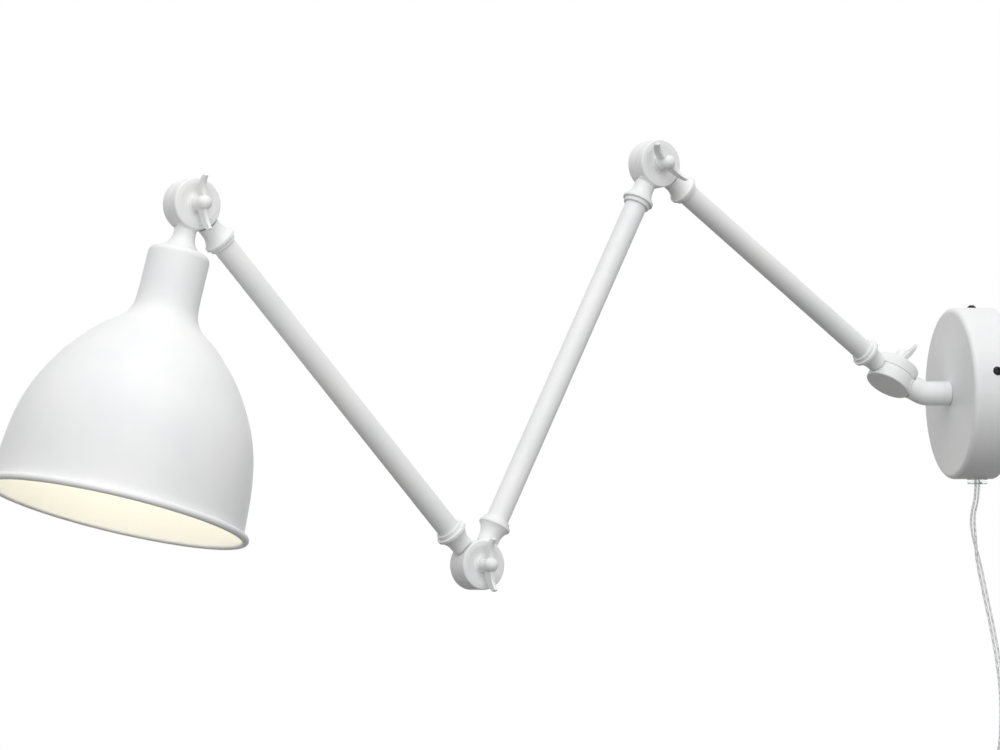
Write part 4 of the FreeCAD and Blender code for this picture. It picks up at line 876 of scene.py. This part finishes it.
# ---- wing nuts ----
def nut_shells(nut):
    """The hub, a spun barrel under a ball, and its two blades, about local Z.

    A blade's section is a squarish loop, cos and sin to the power square, between its lower and
    its upper edge, which follow two curves from root to tip. Its thickness falls from root to
    tip, its last twentieth draws in, and its middle line bows sideways by cup sin(pi u).
    """
    ball_start, sunk, tip_cut, square = math.radians(118), 2.0 * MM, 1.2 * MM, 0.45
    ball = nut.hub_r
    ball_at = nut.seat + nut.hub_h - ball
    t = np.linspace(ball_start, 0, 22)
    dome = np.stack([ball_at + ball * np.cos(t), ball * np.sin(t)], 1)
    waist = dome[0]
    side_t = np.linspace(0, 1, 10)
    side = np.stack([nut.seat + (waist[0] - nut.seat) * (0.06 + 0.94 * side_t),
                     nut.foot_r + (waist[1] - nut.foot_r) * side_t ** 4], 1)
    foot = rounded([(nut.seat, nut.bore_r, 0), (nut.seat, nut.foot_r, 0.3 * MM),
                    tuple(side[0]) + (0,)])
    bore_end = nut.seat + nut.bore_depth
    bore = np.array([(bore_end, 0), (bore_end, nut.bore_r), (nut.seat, nut.bore_r)])
    grids = [spun(np.concatenate([bore, foot[1:], side[1:], dome[1:]]), 64, about="z")]
    u = np.linspace(0, 1, 33)
    low = nut.seat + nut.root_low
    high = nut.seat + nut.root_high
    tip = nut.seat + nut.wing_rise
    root = nut.hub_r - sunk
    lower = arc_through((root, low), (nut.wing_reach * 0.70, low + 0.24 * (tip - low)),
                        (nut.wing_reach, tip - nut.tip_width), u)
    upper = arc_through((root, high), (nut.wing_reach * 0.60, high + 0.06 * (tip - high)),
                        (nut.wing_reach - tip_cut, tip), u)
    middle = (lower + upper) / 2
    half = (upper - lower) / 2
    closing = np.sqrt(1 - np.clip((u - 0.95) / 0.05, 0, 1) ** 2 * 0.75)
    ease = u ** 0.8
    thick = (nut.root_t * (1 - ease) + nut.tip_t * ease) / 2 * closing
    bow = nut.cup * np.sin(math.pi * u)
    v = np.linspace(0, 2 * math.pi, 41)
    across = np.sign(np.cos(v)) * np.abs(np.cos(v)) ** square
    through = np.sign(np.sin(v)) * np.abs(np.sin(v)) ** square
    for direction in (1, -1):
        x = middle[:, 0, None] + half[:, 0, None] * closing[:, None] * across
        z = middle[:, 1, None] + half[:, 1, None] * closing[:, None] * across
        y = (thick[:, None] * through + bow[:, None] * (1 - across ** 2 * 0.5)
             - bow[:, None] * 0.5)
        blade = np.stack([direction * x, direction * y, z], -1)
        start, end = (np.repeat(row[None].mean(axis=1, keepdims=True), len(v), axis=1)
                      for row in (blade[0], blade[-1]))
        grids.append(np.concatenate([start, blade, end]))
    return grids


class LAMP_OT_wing_nuts(bpy.types.Operator):
    """Makes the four cast wing nuts"""
    bl_idname = "wall_lamp.wing_nuts"
    bl_label = "Wing nuts"

    def execute(self, context):
        nut = context.scene.lamp_nuts
        rise = context.scene.lamp_knuckles.seam_rise
        shells = nut_shells(nut)
        nuts = (("wall_joint", WALL + WALL_AXIS * rise, REAR_LINE, WALL_AXIS, nut.turn_wall),
                ("upper_elbow", UPPER, MIDDLE_LINE, ELBOW_AXIS, nut.turn_upper),
                ("lower_elbow", LOWER, MIDDLE_LINE, ELBOW_AXIS, nut.turn_lower),
                ("shade_joint", SHADE, SHADE_LINE, ELBOW_AXIS, nut.turn_shade))
        for joint, centre, line, axis, turn in nuts:
            at = place(centre, turned(line, axis, turn), axis)
            node = joint + "_wing_nut"
            make_piece(node + "_cast", [carried(shell, at) for shell in shells], node,
                       FINISH["white_paint"], [node], crease=50.0)
        return {"FINISHED"}


# ---- shade ----
# the bell's side, as (distance from the joint, radius) in millimetres
BELL = [(60.0, 20.9), (68.5, 21.2), (76.0, 22.4), (84.6, 28.0), (92.0, 37.6), (100.5, 46.3),
        (113.0, 57.2), (127.0, 66.2), (142.0, 73.8), (158.5, 79.3), (183.0, 83.2),
        (210.8, 84.7)]


class LAMP_OT_shade(bpy.types.Operator):
    """Makes the spun bell shade with its rolled rim, painted outside and enamelled inside"""
    bl_idname = "wall_lamp.shade"
    bl_label = "Shade"

    def execute(self, context):
        sizes = context.scene.lamp_shade
        bell = smooth_curve(np.array(BELL) * MM, 8)
        top = rounded([(sizes.top, sizes.hole_r, 0), (sizes.top, sizes.neck_r, sizes.corner),
                       (sizes.neck_end, sizes.neck_r, 0)], steps=10)
        outside = np.concatenate([top[:-1], bell])
        inside_top = rounded([(sizes.top + sizes.wall, sizes.hole_r, 0),
                              (sizes.top + sizes.wall, sizes.neck_r - sizes.wall,
                               sizes.corner - sizes.wall),
                              (sizes.neck_end, sizes.neck_r - sizes.wall, 0)], steps=10)
        inside = np.concatenate([inside_top[:-1], offset(bell, sizes.wall)])
        start = math.acos((outside[-1, 1] - sizes.bead_out) / sizes.bead_r)
        t = np.linspace(start, start - math.pi * 2 + (math.pi - start), 33)
        bead = np.stack([sizes.bead_at - sizes.bead_r * np.sin(t),
                         sizes.bead_out + sizes.bead_r * np.cos(t)], 1)
        outside = np.concatenate([outside[:-1], bead])
        inside[-1] = bead[-1]
        hole = np.stack([inside[0], outside[0]])
        at = place(SHADE, SHADE_LINE, ELBOW_AXIS)
        grids = [carried(spun(curve, 128), at) for curve in (outside, inside, hole)]
        make_piece("shade_spun", grids, "shade", [FINISH["shade_paint"], FINISH["lining"]],
                   ["shade"], tags=[0, 1, 0], crease=50.0)
        return {"FINISHED"}


# ---- screws and grip on the cup ----
# the screws' directions from the cup's middle, in degrees from +X towards +Z
SCREW_ANGLES = (90.0, 15.2, 164.8)


class LAMP_OT_cup_screws(bpy.types.Operator):
    """Makes the three domed screws in the cup's wall, each with a cross recess"""
    bl_idname = "wall_lamp.cup_screws"
    bl_label = "Cup screws"

    def execute(self, context):
        sizes = context.scene.lamp_fittings
        cup_r, head_r, head_h = sizes.cup_r, sizes.head_r, sizes.head_h
        shank_r, shank_end = sizes.shank_r, sizes.cup_r - sizes.shank_l
        side_slope, end_slope = 0.18 * MM, 0.3 * MM
        dome_r = (head_r ** 2 + head_h ** 2) / (2 * head_h)
        radius = np.concatenate([np.linspace(0, 0.93, 26), [0.97, 1.0, 1.0]])[:, None] * head_r
        turn = np.linspace(0, 2 * math.pi, COLUMNS + 1)[None]
        height = np.sqrt(dome_r ** 2 - radius ** 2) - (dome_r - head_h) + 0 * turn
        height[-1] = 0
        y, z = radius * np.cos(turn), radius * np.sin(turn)
        near = np.minimum(np.abs(y), np.abs(z))
        far = np.maximum(np.abs(y), np.abs(z))
        cross = (np.clip((sizes.cross_w - near) / side_slope, 0, 1)
                 * np.clip((sizes.cross_reach - far) / end_slope, 0, 1))
        height = height - cross * sizes.cross_depth
        head = np.stack([cup_r + height, y, z], -1)
        shank = spun(rounded([(cup_r, head_r, 0), (cup_r, shank_r, 0),
                              (shank_end, shank_r, 0.4 * MM), (shank_end, 0, 0)]),
                     COLUMNS)
        grids = []
        for angle in SCREW_ANGLES:
            out = (math.cos(math.radians(angle)), 0, math.sin(math.radians(angle)))
            at = place((0, -sizes.screw_out, 0), out, (0, 1, 0))
            grids += [carried(head, at), carried(shank, at)]
        make_piece("cup_screws_domed", grids, "wall_base", FINISH["dark_screw"],
                   ["cup_screws"], crease=35.0)
        return {"FINISHED"}


class LAMP_OT_cord_grip(bpy.types.Operator):
    """Makes the clear two-lobed grip that holds the cord in the cup's lower wall"""
    bl_idname = "wall_lamp.cord_grip"
    bl_label = "Cord grip"

    def execute(self, context):
        sizes = context.scene.lamp_fittings
        cup_r, flange_r, bore_r = sizes.cup_r, sizes.flange_r, sizes.bore_r
        face, shank_end = cup_r + sizes.flange_t, cup_r - sizes.shank_l
        outline = rounded([(face, bore_r, 0), (face, flange_r, 1.3 * MM),
                           (cup_r, flange_r, 0.5 * MM), (cup_r, sizes.grip_r, 0),
                           (shank_end, sizes.grip_r, 0.3 * MM),
                           (shank_end, bore_r, 0)], closed=True)
        shell = spun(outline, COLUMNS)
        # the groove between the two lobes falls off as exp(-(cos turn / half) squared)
        turn = np.linspace(0, 2 * math.pi, COLUMNS + 1)
        half = 0.16
        notch = np.exp(-(np.cos(turn) / half) ** 2) * sizes.notch
        outer = np.clip((np.hypot(shell[..., 1], shell[..., 2]) - bore_r)
                        / (flange_r - bore_r), 0, 1)
        low = np.clip((shell[..., 0] - cup_r) / sizes.flange_t, 0, 1)
        shell[..., 0] -= notch * outer * low
        at = place((0, -sizes.grip_out, 0), (0, 0, -1), (1, 0, 0))
        make_piece("cord_grip_clear", [carried(shell, at)], "wall_base",
                   FINISH["clear_plastic"], ["cord_grip"], crease=50.0)
        return {"FINISHED"}


# ---- cords ----
# points that the cord turns at, from inside the grip down into the switch, in millimetres
CORD_ROUTE = [
    (0.0, -10.5, -66.0), (0.0, -10.5, -80.0), (-1.5, -14.4, -95.0), (1.0, -12.6, -116.0),
    (10.0, -8.6, -149.0), (24.0, -4.6, -186.0), (40.0, -3.9, -222.0), (46.0, -5.4, -257.0),
    (47.5, -9.5, -281.0), (47.5, -9.5, -300.0),
]
# the same from the switch to the coil, as steps from the switch's lower end
LEAD_STEPS = [(0.0, 0.0, 3.0), (0.0, 0.0, -13.0), (0.0, 5.0, -28.0), (0.0, 5.0, -40.0)]
# and from the coil's end to the plug
TAIL_STEPS = [(0.0, 0.0, 0.0), (0.0, 0.0, -14.0), (6.5, 3.5, -31.0), (6.5, 3.5, -45.0)]
SWITCH_FOOT = (47.5, -9.5, -357.0)
# where each cord makes its half turn, in metres along it; the coiled cord makes its own within
# 1 mm, so the sheath and the strands pinch and cross there, inside the coil
SUPPLY_TWIST = (0.025, 0.075)
COIL_TWIST = (1.0, 1.0)


def coil_points(sizes):
    """Control points of the coil's turns about an axis along Y.

    In each layer the radius runs in and out again at a steady rate, one pitch a turn, and the
    layers follow each other along -Y, climbing in the half turn where the spiral reverses.
    """
    layers, turns, pitch = sizes.layers, sizes.turns, sizes.pitch
    start = (np.array(SWITCH_FOOT) + LEAD_STEPS[-1]) * MM
    centre = start - np.array([sizes.coil_r, 0, sizes.width])
    t = np.linspace(0, layers * turns, 16 * layers * turns + 1)
    layer = np.minimum((t / turns).astype(int), layers - 1)
    along = t - turns * layer
    shrink = np.where(layer % 2 == 0, along, turns - along)
    radius = sizes.coil_r - pitch * shrink
    steps = turns * np.arange(1, layers)[:, None]
    climbed = np.clip((t - steps + 0.25) / 0.5, 0, 1).sum(axis=0)
    angle = 2 * math.pi * t
    return centre + np.stack([radius * np.cos(angle), -pitch * climbed,
                              -radius * np.sin(angle)], 1)


def spline_points(control):
    """Points read from the NURBS spline of order 3 that control gives, from end to end."""
    curve = bpy.data.curves.new("route", "CURVE")
    curve.dimensions = "3D"
    spline = curve.splines.new("NURBS")
    spline.points.add(len(control) - 1)
    weighted = np.concatenate([control, np.ones((len(control), 1))], axis=1)
    spline.points.foreach_set("co", weighted.ravel())
    spline.order_u = 3
    spline.use_endpoint_u = True
    spline.resolution_u = 8
    holder = bpy.data.objects.new("route", curve)
    mesh = bpy.data.meshes.new_from_object(holder)
    points = np.empty(len(mesh.vertices) * 3)
    mesh.vertices.foreach_get("co", points)
    bpy.data.objects.remove(holder)
    bpy.data.curves.remove(curve)
    bpy.data.meshes.remove(mesh)
    points = points.reshape(-1, 3)
    apart = np.append(True, np.linalg.norm(np.diff(points, axis=0), axis=1) > 1e-6)
    return points[apart]


def cord_frames(points, twist_from, twist_to):
    """Across and up directions along a path.

    Across is +Y made square to the run, turned about the run by half a turn between the two
    distances, as smoothly as 3 s squared - 2 s cubed.
    """
    run = np.gradient(points, axis=0)
    run /= np.linalg.norm(run, axis=1)[:, None]
    across = np.array([0.0, 1.0, 0.0]) - run * run[:, 1:2]
    across /= np.linalg.norm(across, axis=1)[:, None]
    up = np.cross(run, across)
    gone = np.append(0, np.cumsum(np.linalg.norm(np.diff(points, axis=0), axis=1)))
    share = np.clip((gone - twist_from) / max(twist_to - twist_from, MM), 0, 1)
    angle = (math.pi * share ** 2 * (3 - 2 * share))[:, None]
    return (across * np.cos(angle) + up * np.sin(angle),
            up * np.cos(angle) - across * np.sin(angle))


def twin_section(sizes):
    """The figure-of-eight section: two round lobes with a shallow groove between them."""
    r = sizes.thickness / 2
    centre = sizes.width / 2 - r
    angle = np.radians(np.linspace(-128, 128, 15))
    right = np.stack([centre + r * np.cos(angle), r * np.sin(angle)], 1)
    groove = np.array([[0.0, 0.66 * r]])
    left = -right
    return np.concatenate([right, groove, left, -groove, right[:1]])


def tube(path, across, up, section):
    """A closed tube: the section along the path, with both ends drawn to their middles."""
    rings = swept(path, across, up, section)
    first = np.repeat(path[:1, None], len(section), axis=1)
    last = np.repeat(path[-1:, None], len(section), axis=1)
    return np.concatenate([first, rings, last])


def make_cord(name, control, sizes, nodes, twist):
    """The clear sheath and its two bundles of strands; gives them and the line followed."""
    path = spline_points(np.asarray(control) * 1.0)
    across, up = cord_frames(path, *twist)
    sheath = make_piece(name, [tube(path, across, up, twin_section(sizes))], "wall_base",
                        FINISH["clear_flex"], nodes, crease=60.0)
    turn = np.linspace(0, 2 * math.pi, 9)
    ring = np.stack([np.cos(turn), np.sin(turn)], 1) * sizes.core_r
    apart = (sizes.width - sizes.thickness) / 2
    cores = [tube(path, across, up, ring + (side * apart, 0)) for side in (1, -1)]
    strands = make_piece(name + "_strands", cores, "wall_base", FINISH["copper"],
                         crease=60.0)
    return sheath, strands, path


class LAMP_OT_cords(bpy.types.Operator):
    """Makes the supply cord down to the switch, and the coiled cord on to the plug"""
    bl_idname = "wall_lamp.cords"
    bl_label = "Cords"

    def execute(self, context):
        sizes = context.scene.lamp_cord
        route = np.array(CORD_ROUTE) * MM
        sheath, strands, path = make_cord("supply_cord_clear", route, sizes,
                                          ["supply_cord"], SUPPLY_TWIST)
        lead = (np.array(SWITCH_FOOT) + LEAD_STEPS) * MM
        coil = coil_points(sizes)
        coil_end = coil[-1] - [0, 0, sizes.width]
        tail = coil_end + np.array(TAIL_STEPS) * MM
        control = np.concatenate([lead, coil, tail])
        sheath, strands, path = make_cord("coiled_cord_clear", control, sizes,
                                          ["switch_lead", "cord_coil", "plug_lead"],
                                          COIL_TWIST)
        return {"FINISHED"}


# ---- stage ----
def facing(direction):
    """The rotation that turns a camera or light to look along a direction."""
    return Vector(direction).to_track_quat("-Z", "Y").to_euler()


def add_light(name, kind, at, watts, tint=(1, 1, 1)):
    light = bpy.data.lights.new(name, kind)
    light.energy = watts
    light.color = tint
    holder = add_object(name, light)
    holder.location = at
    return light, holder


def area_light(name, at, towards, side, watts):
    """A square soft white light that faces a point."""
    light, holder = add_light(name, "AREA", at, watts)
    light.shape = "SQUARE"
    light.size = side
    holder.rotation_euler = facing(towards - at)


def white_world(stage):
    """Surroundings that look white, and that light the lamp less from below than from above."""
    world = bpy.data.worlds.new("studio")
    world.use_nodes = True
    tree = world.node_tree
    tree.nodes.clear()
    path = add_node(tree, "ShaderNodeLightPath")
    seen = path.outputs["Is Camera Ray"]
    for kind in ("Is Glossy Ray", "Is Transmission Ray"):
        seen = add_node(tree, "ShaderNodeMath", {0: seen, 1: path.outputs[kind]},
                        operation="MAXIMUM").outputs[0]
    direction = add_node(tree, "ShaderNodeTexCoord").outputs["Generated"]
    height = add_node(tree, "ShaderNodeSeparateXYZ", {"Vector": direction}).outputs["Z"]
    soft = ranged(tree, height, stage.under, stage.fill, -0.35, 0.15)
    background = add_node(tree, "ShaderNodeBackground", {
        "Color": (1, 1, 1, 1), "Strength": ranged(tree, seen, soft, 1.0, 0.0, 1.0)})
    output = add_node(tree, "ShaderNodeOutputWorld")
    tree.links.new(background.outputs[0], output.inputs["Surface"])
    return world


def add_floor(stage, chosen):
    """A round pale floor, clear from below, so that it doesn't hide the lamp there."""
    outline = np.array([(0.0, 0.0), (0.0, stage.floor_r)])
    grid = spun(outline, COLUMNS, about="z") + np.array([0, stage.look_y, -stage.floor_drop])
    mesh = bpy.data.meshes.new("floor")
    mesh.from_pydata(grid.reshape(-1, 3), [], grid_quads(grid).tolist())
    material, tree, shader, _ = new_material("pale_floor", {
        "Base Color": opaque(chosen.floor), "Roughness": 0.9})
    ray = add_node(tree, "ShaderNodeLightPath")
    # bounced light sees a darker floor, so that the undersides keep their shade
    tone = mixed(tree, ray.outputs["Is Diffuse Ray"], chosen.floor, chosen.bounce)
    tree.links.new(tone, shader.inputs["Base Color"])
    # the camera sees it part way to white, so that it doesn't stand out from the surroundings
    paling = 0.6
    share = add_node(tree, "ShaderNodeMath", {
        0: ray.outputs["Is Camera Ray"], 1: paling}, operation="MULTIPLY")
    white = add_node(tree, "ShaderNodeEmission", {"Color": (1, 1, 1, 1), "Strength": 1.0})
    paled = add_node(tree, "ShaderNodeMixShader", {
        0: share.outputs[0], 1: shader.outputs[0], 2: white.outputs[0]})
    back = add_node(tree, "ShaderNodeNewGeometry").outputs["Backfacing"]
    clear = add_node(tree, "ShaderNodeBsdfTransparent")
    seen = add_node(tree, "ShaderNodeMixShader", {
        0: back, 1: paled.outputs[0], 2: clear.outputs[0]})
    for node in tree.nodes:
        if node.type == "OUTPUT_MATERIAL":
            tree.links.new(seen.outputs[0], node.inputs["Surface"])
    mesh.materials.append(material)
    add_object("floor", mesh)


class LAMP_OT_stage(bpy.types.Operator):
    """Sets the camera, the soft lights, the white surroundings and the floor"""
    bl_idname = "wall_lamp.stage"
    bl_label = "Stage"

    def execute(self, context):
        scene = context.scene
        stage = scene.lamp_stage
        toward = np.array([math.cos(stage.view_turn), math.sin(stage.view_turn), 0.0])
        axes = np.stack([toward, [-toward[1], toward[0], 0.0], [0.0, 0.0, 1.0]], 1)
        look = np.array([0.0, stage.look_y, stage.look_z])

        # the lens is given for a sensor 36 mm wide
        data = bpy.data.cameras.new("camera")
        data.lens = stage.lens
        data.sensor_width = 36.0
        data.clip_end = 50.0
        camera = add_object("camera", data)
        camera.location = look + toward * stage.distance
        camera.rotation_euler = facing(-toward)
        scene.camera = camera

        area_light("key", look + axes @ stage.key_at, look, stage.key_size, stage.key)
        area_light("front", look + axes @ stage.front_at, look, stage.front_size, stage.front)
        light, holder = add_light("glow", "POINT", SHADE + SHADE_LINE * stage.glow_at,
                                  stage.glow, scene.lamp_finishes.glow)
        light.shadow_soft_size = stage.glow_r
        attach(holder, "shade")

        scene.world = white_world(stage)
        add_floor(stage, scene.lamp_finishes)
        scene.view_settings.view_transform = "Standard"
        return {"FINISHED"}


class LAMP_PT_panel(bpy.types.Panel):
    """Lists the lamp's operators"""
    bl_idname = "LAMP_PT_panel"
    bl_label = "Wall Lamp"
    bl_space_type = "VIEW_3D"
    bl_region_type = "UI"
    bl_category = "Wall Lamp"

    def draw(self, context):
        for operator in OPERATORS:
            self.layout.operator(operator.bl_idname)


GROUPS = {
    "lamp_knuckles": KnuckleSizes, "lamp_tubes": TubeSizes, "lamp_stem": StemSizes,
    "lamp_nuts": NutSizes, "lamp_fittings": FittingSizes, "lamp_shade": ShadeSizes,
    "lamp_cord": CordSizes, "lamp_finishes": Finishes, "lamp_stage": StageSettings,
}
OPERATORS = (LAMP_OT_stage, LAMP_OT_finishes, LAMP_OT_cords, LAMP_OT_knuckles,
             LAMP_OT_arm_tubes, LAMP_OT_stem, LAMP_OT_wing_nuts, LAMP_OT_shade,
             LAMP_OT_cup_screws, LAMP_OT_cord_grip)


def register():
    for group in GROUPS.values():
        bpy.utils.register_class(group)
    for name, group in GROUPS.items():
        setattr(bpy.types.Scene, name, PointerProperty(type=group))
    for operator in OPERATORS:
        bpy.utils.register_class(operator)
    bpy.utils.register_class(LAMP_PT_panel)


def unregister():
    bpy.utils.unregister_class(LAMP_PT_panel)
    for operator in reversed(OPERATORS):
        bpy.utils.unregister_class(operator)
    for name, group in reversed(list(GROUPS.items())):
        delattr(bpy.types.Scene, name)
        bpy.utils.unregister_class(group)


def main():
    """Registers the add-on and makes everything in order."""
    register()
    for operator in OPERATORS:
        group, action = operator.bl_idname.split(".")
        getattr(getattr(bpy.ops, group), action)()


if __name__ == "__main__":
    main()
